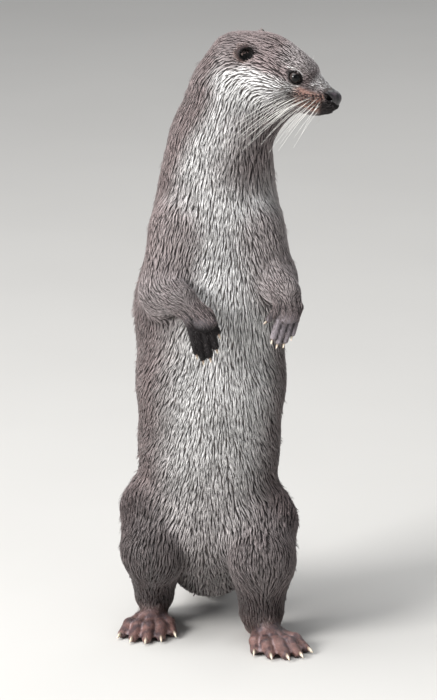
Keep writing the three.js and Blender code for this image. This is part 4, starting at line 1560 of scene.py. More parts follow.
@dataclass
class Skin:
    """One skin over all the flesh, with lids, ears and the line of the mouth."""

    flesh: Flesh
    markings: Markings
    nose: "Nose"
    dots: Array  # the dark pits of the muzzle
    eye: Eye = Eye()
    ear: Ear = Ear()
    mouth: Mouth = Mouth()
    floor: float = 0.1  # where the soles are flat
    muzzle_from: float = 46.0  # how far forward on the head the muzzle starts
    # the steps of its grid across, along and up
    zones: tuple[Zones, ...] = (Zones(1.15, 1.7, ((78, 140),)), Zones(1.7, 5.0, ((-130, 50),)),
                                Zones(1.45, 5.6, ((-9, 30), (312, 388), (554, 640))))
    margin: float = 6.0  # how far the grid reaches past the flesh
    name: str = "otter_skin"

    def __post_init__(self) -> None:
        """Finds where eyes and ears sit, and the masses that carve the mouth."""
        self.eyes: dict[str, Array] = {}
        self.gazes: dict[str, Array] = {}
        self.ears: list[tuple[Lobe, Lobe]] = []
        for side, s in (("right", 1), ("left", -1)):
            f, r, u = self.eye.near
            self.eyes[side] = self.flesh.sunk((f, s * r, u), self.eye.cad_sunk)
            g = self.eye.gaze
            self.gazes[side] = unit(np.array([g[0], s * g[1], g[2]]) @ HEAD.axes)
            self.ears.append(self._ear(s))
        self.creases = [HEAD.taper((a[0], s * a[1], a[2]), (b[0], s * b[1], b[2]), self.mouth.r, self.mouth.r)
                        for a, b in zip(self.mouth.line, self.mouth.line[1:]) for s in (1, -1)]

    def _ear(self, s: int) -> tuple[Lobe, Lobe]:
        """Shapes one ear.

        Args:
            s: 1 for the right ear, -1 for the left.

        Returns:
            Its cup and the hollow in it.
        """
        e = self.ear
        f, r, u = e.near
        at = self.flesh.sunk((f, s * r, u), e.cad_sunk)
        turn = math.radians(e.outward)
        facing = HEAD.axes[0] * math.cos(turn) + HEAD.axes[1] * s * math.sin(turn)
        side = unit(np.cross(HEAD.axes[2], facing))
        axes = np.array([facing, side, np.cross(facing, side)])
        ahead = side * math.copysign(1.0, float(side @ HEAD.axes[0]))
        cup = Lobe(at - facing * 1.0, axes, (e.depth + 1.0, e.width, e.height))
        hollow = Lobe(at + facing * e.depth * 0.6 + ahead * 1.9, axes,
                      (e.depth * 1.15, e.width * e.rim, e.height * e.rim))
        return cup, hollow

    def lens(self, p: Array, side: str) -> tuple[Array, Array]:
        """Where points lie across and up an eye's opening.

        Args:
            p: the points.
            side: the eye's side.

        Returns:
            Places across and up: at 1 they are level with its corners and its lids.
        """
        s = 1 if side == "right" else -1
        gaze = self.gazes[side]
        up = unit(HEAD.axes[2] - gaze * float(HEAD.axes[2] @ gaze))
        ahead = np.cross(gaze, up) * -s
        turn = math.radians(self.eye.slant)
        wide = ahead * math.cos(turn) + up * math.sin(turn)
        tall = up * math.cos(turn) - ahead * math.sin(turn)
        off = p - self.eyes[side]
        return off @ wide / self.eye.wide, off @ tall / self.eye.tall

    def opening(self, p: Array, side: str) -> Array:
        """How far each point lies from the middle of an eye's opening: 1 on the edge of the lids."""
        x, y = np.abs(self.lens(p, side))
        return np.where((p - self.eyes[side]) @ self.gazes[side] > 0, (x ** 1.8 + y ** 1.8) ** (1 / 1.8), 9.0)

    def value(self, p: Array) -> Array:
        """Distance of each point outside the skin.

        Args:
            p: the points.

        Returns:
            A distance for each.
        """
        far = self.flesh.distances(p)
        shares = self.flesh.shares(far)
        skin = self.flesh.body(far) + self.flesh.fur_at(p, shares)[:, 0]
        near = np.nonzero(far[self.flesh.index["head"]] < 25)[0]
        if len(near):
            skin[near] = self._face(p[near], skin[near])
        return np.maximum(skin, self.floor - p[:, 2])

    def _face(self, p: Array, skin: Array) -> Array:
        """Adds ears and lids to the bare head, and takes out eye sockets and the line of the mouth.

        Args:
            p: the points.
            skin: how far each lies outside the bare head.

        Returns:
            How far each lies outside the finished head.
        """
        for cup, hollow in self.ears:
            inside = hollow.distance(p)
            skin = carve(melt(skin, carve(cup.distance(p), inside, 1.0), 4.0), inside, 0.8)
        for side, centre in self.eyes.items():
            off = np.linalg.norm(p - centre, axis=1)
            shell = np.abs(off - self.eye.ball - 0.25 - self.eye.lid) - self.eye.lid
            gap = (1 - self.opening(p, side)) * self.eye.tall
            skin = melt(skin, np.maximum(shell, gap), 2.0)
            skin = np.maximum(skin, np.minimum(gap, self.eye.ball + 1.6 - off))
            skin = np.maximum(skin, self.eye.ball + 0.15 - off)
        for crease in [*self.creases, *self.nose.nostrils]:
            skin = carve(skin, crease.distance(p), 1.2)
        return skin

    def build(self, place: Placement, atlas: Atlas) -> bpy.types.Object:
        """Makes the skin.

        Args:
            place: carries it into the model's frame.
            atlas: its unwrap.

        Returns:
            The skin's object, riding on the frame.
        """
        low = np.min([part.box[0] for part in self.flesh.parts], axis=0) - self.margin
        high = np.max([part.box[1] for part in self.flesh.parts], axis=0) + self.margin
        lines = [zone.lines(start, end) for zone, start, end in zip(self.zones, low, high)]
        points, faces = Net(self.value, lines).wrap()
        for _ in range(2):
            points = settle(points, self.value, 0.7)
        self.points, self.faces = points, faces
        self.normals = corner_normals(points, faces)
        self.shares = self.flesh.shares(self.flesh.distances(points))
        thing = mesh_object(self.name, place.metres(points), faces)
        give_values(thing, "marks", self.dressed_marks(points, self.shares))
        give_values(thing, "deep", self.deep(points))
        give_values(thing, "wet", self.digits(points))
        give_map(thing, atlas.corners(points, faces, self.shares))
        thing.data.materials.append(SkinFinish().make())
        return ride(thing, [part.name for part in self.flesh.parts] + ["ear_left", "ear_right"])

    def dressed_marks(self, p: Array, shares: Array) -> Array:
        """The marks, with pale lines over and under the eyes and dark dots where the whiskers stand.

        Args:
            p: the points.
            shares: each part's share in them.

        Returns:
            Three columns like those of Markings.at.
        """
        marks = self.markings.at(self.flesh, p, shares)
        for side, centre in self.eyes.items():
            (x, y), out = self.lens(p, side), self.opening(p, side)
            close = np.linalg.norm(p - centre, axis=1) < self.eye.reach
            over = self.eye.over.of(out) * rise(y, 0.35, 0.7) * (1 - rise(x, 0.5, 1.0))
            below = self.eye.below.of(out) * rise(-y, 0.3, 0.7) * rise(x, -0.4, 0.4)
            line = np.maximum(over, 0.8 * below) * close
            marks[:, 0] = np.maximum(marks[:, 0], line)
            marks[:, 1:] *= (1 - line)[:, None]
            self._darken(marks, (1 - rise(out, 1.2, 1.4)) * close)
        for cup, hollow in self.ears:
            rim = 1 - rise(cup.distance(p), 0.5, 4.0)
            marks[:, 0] *= 1 - rim
            marks[:, 1] = np.maximum(marks[:, 1], 0.25 * rim)
            marks[:, 2] = np.maximum(marks[:, 2], 0.4 * rim)
            # painted shade inside the hollow of the ear
            self._darken(marks, 1 - rise(hollow.distance(p), -1.6, -0.3))
        muzzle, apart = self._from_dots(p)
        marks[muzzle, 2] = np.maximum(marks[muzzle, 2], 1 - rise(apart, 1.2, 1.75))
        return marks

    @staticmethod
    def _darken(marks: Array, share: Array) -> None:
        """Turns a share of each point's marks into the dark one."""
        marks *= (1 - share)[:, None]
        marks[:, 2] = np.maximum(marks[:, 2], share)

    def _from_dots(self, p: Array) -> tuple[Array, Array]:
        """How far points of the muzzle lie from its nearest pit.

        Args:
            p: points of the flesh.

        Returns:
            The numbers of the points that lie on the muzzle, and a distance for each of those.
        """
        muzzle = np.nonzero(HEAD.local(p)[:, 0] > self.muzzle_from)[0]
        return muzzle, np.linalg.norm(p[muzzle, None] - self.dots[None], axis=2).min(1)

    def deep(self, p: Array) -> Array:
        """How near each point is to a place that is almost black: the lids, whose skin is dark, and the
        hollows of the ears, the nostrils and the mouth, where the black is painted shade.

        Args:
            p: the points.

        Returns:
            A number from 0 to 1 for each.
        """
        deep = np.zeros(len(p))
        for _, hollow in self.ears:
            deep = np.maximum(deep, 1 - rise(hollow.distance(p), 0.4, 3.0))
        for side, centre in self.eyes.items():
            close = np.linalg.norm(p - centre, axis=1) < self.eye.ball + 3.5
            deep = np.maximum(deep, (1 - rise(self.opening(p, side), 1.15, 1.5)) * close)
        for crease in [*self.creases, *self.nose.nostrils]:
            deep = np.maximum(deep, 1 - rise(crease.distance(p), 0.4, 1.4))
        return deep

    def digits(self, p: Array) -> Array:
        """How far each point belongs to fingers and toes, which carry hardly any fur.

        Args:
            p: the points.

        Returns:
            A number from 0 to 1 for each.
        """
        shares = self.flesh.shares(self.flesh.distances(p))
        fore, hind = (sum(shares[self.flesh.index[f"{part}_{side}"]] for side in SIDES)
                      for part in ("forepaw", "hind_foot"))
        return rise(fore, 0.5, 0.9) * rise(-p[:, 2], -358, -344) + rise(hind, 0.5, 0.95)

    def bare(self, p: Array) -> Array:
        """Which points carry no fur: round the eyes, in the ears, on the nose and in the mouth.

        Args:
            p: the points.

        Returns:
            Whether each is bare.
        """
        bare = self.nose.value(p) < 1.0
        muzzle, apart = self._from_dots(p)
        bare[muzzle] |= apart < 1.1
        for _, hollow in self.ears:
            bare |= hollow.distance(p) < 0.1
        for side, centre in self.eyes.items():
            bare |= (self.opening(p, side) < 1.25) & (np.linalg.norm(p - centre, axis=1) < self.eye.ball + 3)
        for crease in self.creases:
            bare |= crease.distance(p) < 0.9
        return bare


# ---- coat of locks


@dataclass
class Coat:
    """The strands of fur, one mesh for each stretch of the body."""

    skin: Skin
    lie: Lie
    seed: int = 7
    patch: float = 0.003  # size of a strand's place on the map
    stretch: float = 5.0  # how much longer than wide the ground is that one lock gathers
    choices: int = 10
    floor: float = 0.5  # the lowest that a strand may lie
    ruffled: tuple[Triple, ...] = ((-75, -5, 332), (-86, 10, 148), (86, 5, 134))
    ruffle: float = 24.0  # how wide the ruffled places are
    swing: tuple[float, float] = (0.10, 0.05)  # how far the lie turns, by lock and by strand
    lengths: tuple[float, float] = (0.8, 1.15)  # of the shortest and longest lock, as shares of the fur's
    widest: float = 0.45  # how far along it a strand is widest
    strays: float = 0.03  # the share of locks that stand up

    def _roots(self, rng: np.random.Generator) -> tuple[Array, Array]:
        """Spreads the roots of the strands over the skin, as close as each place asks.

        Args:
            rng: the source of chance.

        Returns:
            The roots, and the skin's normals there.
        """
        skin = self.skin
        faces = np.concatenate([skin.faces[:, [0, 1, 2]], skin.faces[:, [0, 2, 3]]])
        order = np.argsort(np.tile(np.arange(len(skin.faces)), 2), kind="stable")
        faces = faces[order]
        corners = skin.points[faces]
        a, b, c = corners.transpose(1, 0, 2)
        area = np.linalg.norm(np.cross(b - a, c - a), axis=1) / 2
        spacing = skin.flesh.fur_at(skin.points, skin.shares)[faces[:, 0], 3]
        wanted = np.cumsum(area / spacing ** 2)
        picks = np.searchsorted(wanted, np.arange(int(wanted[-1])) + rng.random(int(wanted[-1])) * 0.9)
        picks = np.minimum(picks, len(faces) - 1)
        a, b = rng.random((2, len(picks)))
        a, b = np.where(a + b > 1, 1 - a, a), np.where(a + b > 1, 1 - b, b)
        weights = np.stack([1 - a - b, a, b], axis=1)
        roots = np.einsum("nk,nkc->nc", weights, corners[picks])
        normals = unit(np.einsum("nk,nkc->nc", weights, skin.normals[faces[picks]]))
        keep = ~skin.bare(roots) & (roots[:, 2] > 1.5)
        keep &= rng.random(len(roots)) > 0.95 * skin.digits(roots)
        return roots[keep], normals[keep]

    def _lead(self, roots: Array, flow: Array, fur: Array, rng: np.random.Generator) -> Array:
        """Chooses for each strand the one whose line it follows, so that strands gather into long locks.

        Args:
            roots: the foot of each strand.
            flow: the way it lies.
            fur: the fur at its foot.
            rng: the source of chance.

        Returns:
            The number of each strand's leader.
        """
        chance = fur[:, 3] ** 2 / (self.stretch * fur[:, 4] ** 2)
        leaders = np.nonzero(rng.random(len(roots)) < chance)[0]
        tree = KDTree(len(leaders))
        for i, leader in enumerate(leaders):
            tree.insert(Vector(roots[leader]), i)
        tree.balance()
        near = np.array([[i for _, i, _ in tree.find_n(Vector(root), self.choices)] for root in roots])
        near = leaders[near]
        gap = roots[:, None] - roots[near]
        along = np.sum(gap * flow[near], axis=2)
        across = np.sum(gap * gap, axis=2) - along ** 2
        other = np.sum(flow[near] * flow[:, None], axis=2) < 0.6
        best = (across + (along / self.stretch) ** 2 + 4 * other).argmin(1)
        return near[np.arange(len(roots)), best]

    def build(self, place: Placement, atlas: Atlas) -> list[bpy.types.Object]:
        """Makes the whole coat.

        Args:
            place: carries it into the model's frame.
            atlas: the unwrap of the skin.

        Returns:
            The pieces of the coat, riding on the frame.
        """
        rng = np.random.default_rng(self.seed)
        flesh = self.skin.flesh
        roots, normals = self._roots(rng)
        count = len(roots)
        shares = flesh.shares(flesh.distances(roots))
        fur = flesh.fur_at(roots, shares)
        flow = self.lie.at(roots, normals, shares)
        leader = self._lead(roots, flow, fur, rng)
        by_lock, by_strand = self.swing
        swing = rng.normal(0, by_lock, count)[leader] + rng.normal(0, by_strand, count)
        swing += 0.10 * np.sin(roots[leader] @ np.array([0.21, 0.17, 0.13]))
        flow = unit(flow + np.cross(normals, flow) * swing[:, None])
        cups = np.min([cup.distance(roots) for cup, _ in self.skin.ears], axis=0)
        fur[:, 1] *= 0.25 + 0.75 * rise(cups, 0, 7)
        length = fur[:, 1] * (rng.uniform(*self.lengths, count)[leader] + rng.uniform(-0.12, 0.12, count))
        tips, aside = self._gather(roots, flow, length, leader, rng)
        middles = roots + self.widest * (tips - roots)
        rough = sum(np.exp(-np.sum((roots - np.array(spot)) ** 2, axis=1) / self.ruffle ** 2)
                    for spot in self.ruffled)
        astray = rng.random(count) < self.strays + 0.4 * rough
        stray = np.where(astray, rng.uniform(0.2, 1.1, count), 0)[leader]
        lift = stray - rng.uniform(0.05, 0.4, count)[leader] - 0.2 * np.minimum(aside / fur[:, 4], 1)
        lift *= fur[:, 0]
        for _ in range(2):
            tips += normals * np.clip(lift - flesh.outside(tips), -4, 4)[:, None]
            middles += normals * np.clip(-0.42 * fur[:, 0] - flesh.outside(middles), -3, 3)[:, None]
        for ends in (tips, middles):
            ends[:, 2] = np.maximum(ends[:, 2], self.floor)
        marks = self.skin.dressed_marks(roots, shares)
        map_at = atlas.roots(roots, shares)
        shade = np.clip(rng.normal(0.5, 0.24, count)[leader] + rng.normal(0, 0.1, count), 0, 1)
        owner = self._owners(roots, shares)
        finish = CoatFinish().make()
        pieces = []
        for name in sorted(set(owner)):
            mine = owner == name
            piece = self._strands(name, place, roots[mine] - 0.3 * normals[mine], middles[mine], tips[mine],
                                  normals[mine], fur[mine, 2], marks[mine], shade[mine], map_at[mine])
            piece.data.materials.append(finish)
            pieces.append(ride(piece))
        return pieces

    @staticmethod
    def _gather(roots: Array, flow: Array, length: Array, leader: Array,
                rng: np.random.Generator) -> tuple[Array, Array]:
        """Draws the tips of the strands in to their leader's line and towards its tip.

        Args:
            roots: the foot of each strand.
            flow: the way it lies.
            length: its length.
            leader: the number of its leader.
            rng: the source of chance.

        Returns:
            The tips, and how far each strand's foot stands to the side of its leader's line.
        """
        start, way = roots[leader], flow[leader]
        tips = roots + flow * length[:, None]
        ahead = np.sum((tips - start) * way, axis=1)
        beside = tips - start - way * ahead[:, None]
        pull = rng.uniform(0.72, 0.95, len(roots))
        nudge = np.clip(0.4 * (length[leader] - ahead), -3, 3)
        drawn = start + way * (ahead + nudge)[:, None] + beside * (1 - pull)[:, None]
        foot = roots - start
        aside = np.sqrt(np.maximum(np.sum(foot ** 2, axis=1) - np.sum(foot * way, axis=1) ** 2, 0))
        return drawn, aside

    def _owners(self, roots: Array, shares: Array) -> Array:
        """The name of the piece that each strand belongs to.

        Args:
            roots: the foot of each strand.
            shares: each part's share in it.

        Returns:
            A name for each.
        """
        flesh = self.skin.flesh
        regions = [REGIONS[part.name] for part in flesh.parts]
        middle = flesh.bones.spine_at(roots[:, 2])[:, 1]
        names = []
        for best, y, mid in zip(shares.argmax(0), roots[:, 1], middle):
            half = ("_front" if y < mid else "_back") if regions[best] in HALVED else ""
            names.append(f"coat_{regions[best].value}{half}")
        return np.array(names)

    def _strands(self, name: str, place: Placement, roots: Array, middles: Array, tips: Array, normals: Array,
                 width: Array, marks: Array, shade: Array, map_at: Array) -> bpy.types.Object:
        """Makes one piece of the coat: closed strands of three sides, pointed at both ends.

        Args:
            name: the piece's name.
            place: carries it into the model's frame.
            roots: the foot of each strand.
            middles: where it is widest.
            tips: its point.
            normals: the skin's normals.
            width: its width.
            marks: its marks.
            shade: how light it is.
            map_at: its place on the map.

        Returns:
            The piece.
        """
        count = len(roots)
        side = unit(np.cross(unit(tips - roots), normals))
        half = (width / 2)[:, None]
        ring = [middles + side * half, middles + normals * half * 0.8, middles - side * half]
        points = np.stack([roots, *ring, tips], axis=1).reshape(-1, 3)
        shape = np.array([[0, 1, 2], [0, 2, 3], [0, 3, 1], [4, 2, 1], [4, 3, 2], [4, 1, 3]])
        faces = (shape[None] + 5 * np.arange(count)[:, None, None]).reshape(-1, 3)
        piece = mesh_object(name, place.metres(points), faces)
        give_values(piece, "marks", np.repeat(marks, 5, axis=0))
        give_values(piece, "shade", np.repeat(shade, 5))
        give_values(piece, "along", np.tile([0, *[self.widest] * 3, 1], count))
        spots = np.array([[0, -1], [-1, 0], [0, 0.2], [1, 0], [0, 1]]) * self.patch / 2
        places = (map_at[:, None] + spots[None]).reshape(-1, 2)
        give_map(piece, places[faces.ravel()])
        return piece


# ---- eyes, nose, claws and whiskers


@dataclass
class Eyeball:
    """A glossy eyeball with a raised cornea."""

    eye: Eye
    rings: int = 28
    sides: int = 40
    cornea: float = 0.55  # how far the cornea stands out, in millimetres

    def build(self, side: str, centre: Array, gaze: Array, place: Placement,
              finish: bpy.types.Material) -> None:
        """Makes one eye.

        Args:
            side: its side.
            centre: its centre.
            gaze: the way it looks.
            place: carries it into the model's frame.
            finish: its material.
        """
        first = unit(np.cross(gaze, UP))
        second = np.cross(gaze, first)
        turn = np.linspace(0, 2 * math.pi, self.sides, endpoint=False)
        points, off_axis = [centre + gaze * (self.eye.ball + self.cornea)], [0.0]
        for ring in range(1, self.rings):
            a = math.pi * ring / self.rings
            r = self.eye.ball + self.cornea * float(1 - rise(np.array(a), 0.35, 1.05))
            circle = np.outer(np.cos(turn), first) + np.outer(np.sin(turn), second)
            points += list(centre + gaze * r * math.cos(a) + circle * r * math.sin(a))
            off_axis += [a / (math.pi / 2)] * self.sides
        points.append(centre - gaze * self.eye.ball)
        off_axis.append(2.0)
        faces = tube_faces(self.rings - 1, self.sides, 1, 0, len(points) - 1)
        ball = mesh_object(f"eyeball_{side}", place.metres(np.array(points)), faces)
        give_values(ball, "off_axis", np.array(off_axis))
        ball.data.materials.append(finish)
        ride(ball, [f"eye_{side}"])


@dataclass
class Nose:
    """The bare pad of the nose with its nostrils, on the head's axes about its own middle."""

    flesh: Flesh
    near: Triple = (93, 0, -3)
    cad_sunk: float = 5.2
    lobes: tuple[tuple[Triple, Triple], ...] = (
        ((0.7, 0, 1.0), (8.8, 9.0, 7.6)), ((-5.5, 6.5, 1.4), (7.5, 6.0, 6.4)),
        ((-5.5, -6.5, 1.4), (7.5, 6.0, 6.4)), ((2.6, 0, -5.2), (6.2, 6.0, 6.6)))
    nostril: tuple[Triple, ...] = ((1.0, 6.2, 1.0), (-4.0, 10.4, 1.8), (-9.0, 12.6, 3.4))
    nostril_r: float = 2.6
    groove: tuple[Triple, Triple] = ((10.5, 0, -1.0), (7.5, 0, -8.5))

    @cached_property
    def middle(self) -> Array:
        """The middle of the nose, in the frame of the flesh."""
        return self.flesh.sunk(self.near, self.cad_sunk)

    def _at(self, at: Triple) -> Array:
        """A point of the nose in the frame of the flesh."""
        return self.middle + np.array(at) @ HEAD.axes

    @cached_property
    def nostrils(self) -> list[Taper]:
        """Shapes the nostrils.

        Returns:
            The masses that they take out.
        """
        found = []
        for s in (1, -1):
            path = [self._at((f, s * r, u)) for f, r, u in self.nostril]
            found += [Taper(a, b, self.nostril_r * ra, self.nostril_r * rb)
                      for a, b, ra, rb in zip(path, path[1:], (1.0, 1.15), (1.15, 0.5))]
        return found

    def value(self, p: Array) -> Array:
        """Distance of each point outside the pad.

        Args:
            p: the points.

        Returns:
            A distance for each.
        """
        pad = melted([Lobe(self._at(at), HEAD.axes, radii).distance(p) for at, radii in self.lobes], 3.0)
        for nostril in self.nostrils:
            pad = carve(pad, nostril.distance(p), 1.0)
        return carve(pad, Taper(*map(self._at, self.groove), 0.5, 0.7).distance(p), 1.2)

    def build(self, place: Placement) -> None:
        """Makes the pad.

        Args:
            place: carries it into the model's frame.
        """
        lines = [np.arange(m - 16, m + 16, 0.7)[:45] for m in self.middle]
        points, faces = Net(self.value, lines).wrap()
        for _ in range(2):
            points = settle(points, self.value, 0.3)
        pad = mesh_object("nose_pad", place.metres(points), faces)
        pad.data.materials.append(NoseFinish().make())
        ride(pad, ["nose"])


@dataclass
class Claws:
    """The claws: horn drawn along an arc from inside the end of each digit to a point."""

    sides: int = 10
    rings: int = 9
    sizes: tuple[tuple[str, float, float, float], ...] = (("fore", 5, 1.6, 50), ("hind", 7, 2, 42))
    names: tuple[str, ...] = ("first", "second", "third", "fourth", "fifth")

    def build(self, flesh: Flesh, place: Placement) -> int:
        """Makes every claw.

        Args:
            flesh: the body.
            place: carries them into the model's frame.

        Returns:
            How many there are.
        """
        finish = ClawFinish().make()
        made = 0
        for kind, length, thick, curl in self.sizes:
            for side in SIDES:
                for digit, name in zip(flesh.digits[f"{kind}_{side}"], self.names):
                    claw = self._claw(f"claw_{kind}_{name}_{side}", kind, digit, length, thick, curl, place)
                    claw.data.materials.append(finish)
                    ride(claw, [f"{kind}_claw_{name}_{side}"])
                    made += 1
        return made

    def _claw(self, name: str, kind: str, digit: Digit, length: float, thick: float, curl: float,
              place: Placement) -> bpy.types.Object:
        """Makes one claw.

        Args:
            name: its name.
            kind: fore or hind.
            digit: the digit it ends.
            length: how far it stands out.
            thick: its half-height at the root.
            curl: how far it turns down, in degrees.
            place: carries it into the model's frame.

        Returns:
            The claw's object.
        """
        start = digit.knuckle if kind == "fore" else np.array([*digit.knuckle[:2], digit.tip[2]])
        ahead = unit(digit.tip - start)
        below = unit(digit.down - ahead * float(digit.down @ ahead))
        sideways = np.cross(ahead, below)
        turned = math.radians(curl)
        bend = (length + 3) / turned
        root = digit.tip + ahead * (digit.r[1] - 2.9) - below * digit.r[1] * 0.22
        turn = np.linspace(0, 2 * math.pi, self.sides, endpoint=False)
        points, along = [], []
        for ring in range(self.rings):
            t = ring / self.rings
            angle = t * turned
            middle = root + ahead * bend * math.sin(angle) + below * bend * (1 - math.cos(angle))
            out = below * math.cos(angle) - ahead * math.sin(angle)
            thin = thick * (1 - 0.15 * t - 0.8 * t ** 3)
            points += list(middle + np.outer(1.15 * thin * np.cos(turn), out)
                           + np.outer(0.78 * thin * np.sin(turn), sideways))
            along += [t] * self.sides
        points += [root + ahead * bend * math.sin(turned) + below * bend * (1 - math.cos(turned)), root]
        along += [1.0, 0.0]
        tip, foot = len(points) - 2, len(points) - 1
        shape = tube_faces(self.rings, self.sides, 0, foot, tip)
        solid = np.array(points)
        a, b, c = (solid[shape[:, i]] for i in range(3))
        if np.sum(np.cross(a, b) * c) < 0:
            shape = shape[:, ::-1]
        claw = mesh_object(name, place.metres(solid), shape)
        give_values(claw, "along", np.array(along))
        return claw


@dataclass
class Whiskers:
    """Whiskers from the pads of the muzzle, the chin and the brows, swept as tubes along curves."""

    flesh: Flesh
    rows: int = 5
    columns: int = 9
    steps: int = 14
    seed: int = 21

    @cached_property
    def found(self) -> list[tuple[Array, Array, float]]:
        """Lays out the whiskers.

        Returns:
            The root, direction and length of each.
        """
        rng = np.random.default_rng(self.seed)
        found = []
        for s in (1, -1):
            for row, column, at in self._pits(s):
                if (row + 2 * column) % 3 == 0:
                    continue
                way = (-0.25 - 0.1 * column + rng.uniform(-0.14, 0.14), 0.5 * s,
                       -0.34 - 0.06 * row + rng.uniform(-0.16, 0.16))
                found.append((at, way, 31 + 6.5 * column + rng.uniform(-8, 8)))
            for i in range(5):
                found.append(((72 - 6 * i, s * 24, -28 - 1.2 * i), (-0.5, 0.3 * s, -0.6), 24 + 6 * i))
            for i in range(2):
                found.append(((48 + 4 * i, s * 24, 10), (-0.2, 0.6 * s, 0.7), 12 + 4 * i))
        return [(self._onto(at), unit(np.array(way) @ HEAD.axes), length) for at, way, length in found]

    def _pits(self, s: int) -> list[tuple[int, int, Triple]]:
        """Row, column and place beside the head of each dark pit of one side of the muzzle."""
        return [(r, c, (82.5 - 3.7 * c - 1.85 * (r % 2), s * 30, -7.4 - 2.9 * r - 0.8 * c))
                for r, c in product(range(self.rows), range(self.columns))]

    @cached_property
    def dots(self) -> Array:
        """The dark pits of the muzzle, with a whisker in two of every three."""
        return np.array([self._onto(at) for s in (1, -1) for _, _, at in self._pits(s)])

    def _onto(self, at: Triple) -> Array:
        """Moves a point beside the head sideways in until it meets the coat.

        Args:
            at: the point, forward, right and up.

        Returns:
            Where it ends, a little under the outside of the coat.
        """
        p, s = HEAD.place(*at), math.copysign(1.0, at[1])
        for _ in range(60):
            gap = float(self.flesh.outside(p[None])[0])
            if gap < 0.05:
                break
            p = p - HEAD.axes[1] * s * max(0.8 * gap, 0.05)
        return p + HEAD.axes[1] * -s * 1.0

    def build(self, place: Placement) -> bpy.types.Object:
        """Makes all the whiskers as one piece.

        Args:
            place: carries them into the model's frame.

        Returns:
            The piece.
        """
        points, edges, radii, along = [], [], [], []
        for root, way, length in self.found:
            first = len(points)
            for step in range(self.steps + 1):
                t = step / self.steps
                sag = -UP * 0.5 * length * t ** 1.8
                back = -HEAD.axes[0] * 0.1 * length * t * t
                points.append(root + way * length * t + sag + back)
                radii.append((0.19 * (1 - t) + 0.06) * MM)
                along.append(t)
            edges += [(first + i, first + i + 1) for i in range(self.steps)]
        mesh = bpy.data.meshes.new("whiskers")
        mesh.from_pydata([tuple(p) for p in place.metres(np.array(points))], edges, [])
        thing = bpy.data.objects.new("whiskers", mesh)
        bpy.context.scene.collection.objects.link(thing)
        give_values(thing, "thick", np.array(radii))
        give_values(thing, "along", np.array(along))
        swept = sweep(thing, WhiskerFinish().make(), sides=5)
        swept.name = "whiskers"
        return ride(swept)


def sweep(lines: bpy.types.Object, finish: bpy.types.Material, sides: int) -> bpy.types.Object:
    """Turns a mesh of lines into tubes, by Geometry Nodes, with the stored `thick` as their half-width.

    Args:
        lines: the object that holds the lines, which it replaces.
        finish: the material of the tubes.
        sides: how many sides a tube has.

    Returns:
        The tubes as a plain mesh object.
    """
    tree = bpy.data.node_groups.new("sweep_tubes", "GeometryNodeTree")
    tree.interface.new_socket("Geometry", in_out="INPUT", socket_type="NodeSocketGeometry")
    tree.interface.new_socket("Sides", in_out="INPUT", socket_type="NodeSocketInt")
    tree.interface.new_socket("Geometry", in_out="OUTPUT", socket_type="NodeSocketGeometry")
    new = tree.nodes.new
    start, end = new("NodeGroupInput"), new("NodeGroupOutput")
    curve, thick = new("GeometryNodeMeshToCurve"), new("GeometryNodeInputNamedAttribute")
    thick.data_type = "FLOAT"
    thick.inputs["Name"].default_value = "thick"
    profile, tube = new("GeometryNodeCurvePrimitiveCircle"), new("GeometryNodeCurveToMesh")
    profile.inputs["Radius"].default_value = 1.0
    realize, dress = new("GeometryNodeRealizeInstances"), new("GeometryNodeSetMaterial")
    dress.inputs["Material"].default_value = finish
    for giver, given, taker, taken in (
            (start, "Geometry", curve, "Mesh"), (start, "Sides", profile, "Resolution"),
            (curve, "Curve", tube, "Curve"), (profile, "Curve", tube, "Profile Curve"),
            (thick, "Attribute", tube, "Scale"), (tube, "Mesh", realize, "Geometry"),
            (realize, "Geometry", dress, "Geometry"), (dress, "Geometry", end, "Geometry")):
        tree.links.new(giver.outputs[given], taker.inputs[taken])
    tube.inputs["Fill Caps"].default_value = True
    modifier = lines.modifiers.new("sweep", "NODES")
    modifier.node_group = tree
    sockets = {item.name: item.identifier for item in tree.interface.items_tree if item.in_out == "INPUT"}
    modifier[sockets["Sides"]] = sides
    bpy.context.view_layer.update()
    evaluated = lines.evaluated_get(bpy.context.evaluated_depsgraph_get())
    mesh = bpy.data.meshes.new_from_object(evaluated)
    mesh.polygons.foreach_set("use_smooth", np.ones(len(mesh.polygons), bool))
    lines.modifiers.remove(modifier)
    bpy.data.objects.remove(lines)
    tubes = bpy.data.objects.new("tubes", mesh)
    bpy.context.scene.collection.objects.link(tubes)
    return tubes


# ---- stage


@dataclass(frozen=True)
class Lamp:
    """A square soft light: its place and size, in metres, its watts, its colour and the point it faces."""

    name: str
    at: Triple
    size: float
    power: float
    colour: Triple
    towards: Triple

    def shine(self) -> None:
        """Adds the light to the scene."""
        lamp = bpy.data.lights.new(self.name, "AREA")
        lamp.size, lamp.energy, lamp.color = self.size, self.power, self.colour
        thing = bpy.data.objects.new(self.name, lamp)
        thing.location = self.at
        thing.rotation_euler = (Vector(self.towards) - Vector(self.at)).to_track_quat("-Z", "Y").to_euler()
        bpy.context.scene.collection.objects.link(thing)


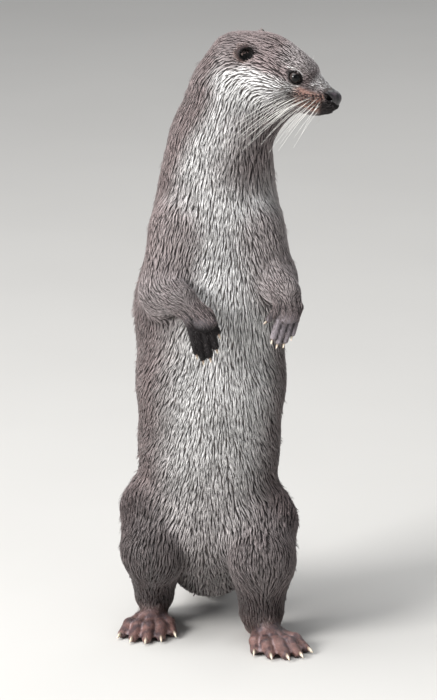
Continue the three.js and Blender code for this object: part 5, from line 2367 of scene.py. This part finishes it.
@dataclass
class Studio:
    """Floor, lights and camera, which looks at its target from in front and a little above."""

    target: Triple = (8.5, 0, 296)
    distance: float = 4.5
    elevation: float = 15.0
    lens: float = 231.43
    floor: float = 24.0  # a side of it, in metres
    around: tuple[float, ...] = (0.88, 0.9, 0.94, 1)
    around_strength: float = 0.3
    lamps: tuple[Lamp, ...] = (
        Lamp("sky", (-0.9, -0.6, 3.0), 2.4, 84.0, (0.98, 0.99, 1.0), (0, 0, 0.4)),
        Lamp("window", (-2.7, -2.3, 1.8), 1.5, 192.0, (1.0, 0.995, 0.99), (0, 0, 0.42)),
        Lamp("fill", (2.6, -2.6, 1.2), 2.0, 6.0, (0.97, 0.98, 1.0), (0, 0, 0.3)),
        Lamp("rim", (1.4, 2.6, 2.1), 1.4, 14.0, (1.0, 1.0, 1.0), (0, 0, 0.4)))

    def build(self, place: Placement) -> None:
        """Sets up the stage round the otter.

        Args:
            place: carries the target into the model's frame.
        """
        corner = self.floor / 2
        points = np.array([[x * corner, y * corner, 0] for x, y in ((-1, -1), (1, -1), (1, 1), (-1, 1))])
        floor = mesh_object("floor", points, np.array([[0, 1, 2, 3]]), smooth=False)
        floor.data.materials.append(FloorFinish().make())
        for lamp in self.lamps:
            lamp.shine()
        world = bpy.data.worlds.new("studio")
        world.use_nodes = True
        world.node_tree.nodes["Background"].inputs[0].default_value = self.around
        world.node_tree.nodes["Background"].inputs[1].default_value = self.around_strength
        bpy.context.scene.world = world
        bpy.context.scene.view_settings.view_transform = "Standard"
        self._camera(place)

    def _camera(self, place: Placement) -> None:
        """Adds the camera.

        Args:
            place: carries the target into the model's frame.
        """
        data = bpy.data.cameras.new("camera")
        data.lens, data.sensor_width, data.clip_end = self.lens, 36.0, 100.0
        camera = bpy.data.objects.new("camera", data)
        tilt = math.radians(self.elevation)
        back = Vector((0, -math.cos(tilt), math.sin(tilt)))
        camera.location = Vector(place.metres(np.array(self.target))) + back * self.distance
        camera.rotation_euler = (-back).to_track_quat("-Z", "Y").to_euler()
        bpy.context.scene.collection.objects.link(camera)
        bpy.context.scene.camera = camera


def triangles(thing: bpy.types.Object) -> int:
    """How many triangles an object's mesh has."""
    return sum(len(polygon.vertices) - 2 for polygon in thing.data.polygons)


def main() -> None:
    """Builds the otter and its stage, and logs the shift, how many claws there are and the triangles of the
    skin, the whiskers and each piece of the coat.
    """
    logging.basicConfig(level=logging.INFO, format="%(name)s: %(message)s")
    flesh = Flesh(Skeleton(), Paw(), Foot())
    markings = Markings()
    nose, whiskers = Nose(flesh), Whiskers(flesh)
    skin = Skin(flesh, markings, nose, whiskers.dots)
    place = Placement.from_eyes(skin.eyes)
    LOG.info("the flesh is shifted by %s m", [round(v, 5) for v in place.shift])
    Studio().build(place)
    atlas = Atlas(flesh)
    LOG.info("skin: %d triangles", triangles(skin.build(place, atlas)))
    nose.build(place)
    eye_finish = EyeFinish().make()
    for side, centre in skin.eyes.items():
        Eyeball(skin.eye).build(side, centre, skin.gazes[side], place, eye_finish)
    LOG.info("claws: %d", Claws().build(flesh, place))
    LOG.info("whiskers: %d triangles", triangles(whiskers.build(place)))
    coat = Coat(skin, Lie(flesh, markings))
    total = 0
    for piece in coat.build(place, atlas):
        total += triangles(piece)
        LOG.info("%s: %d triangles", piece.name, triangles(piece))
    LOG.info("coat: %d triangles", total)


if __name__ == "__main__":
    main()
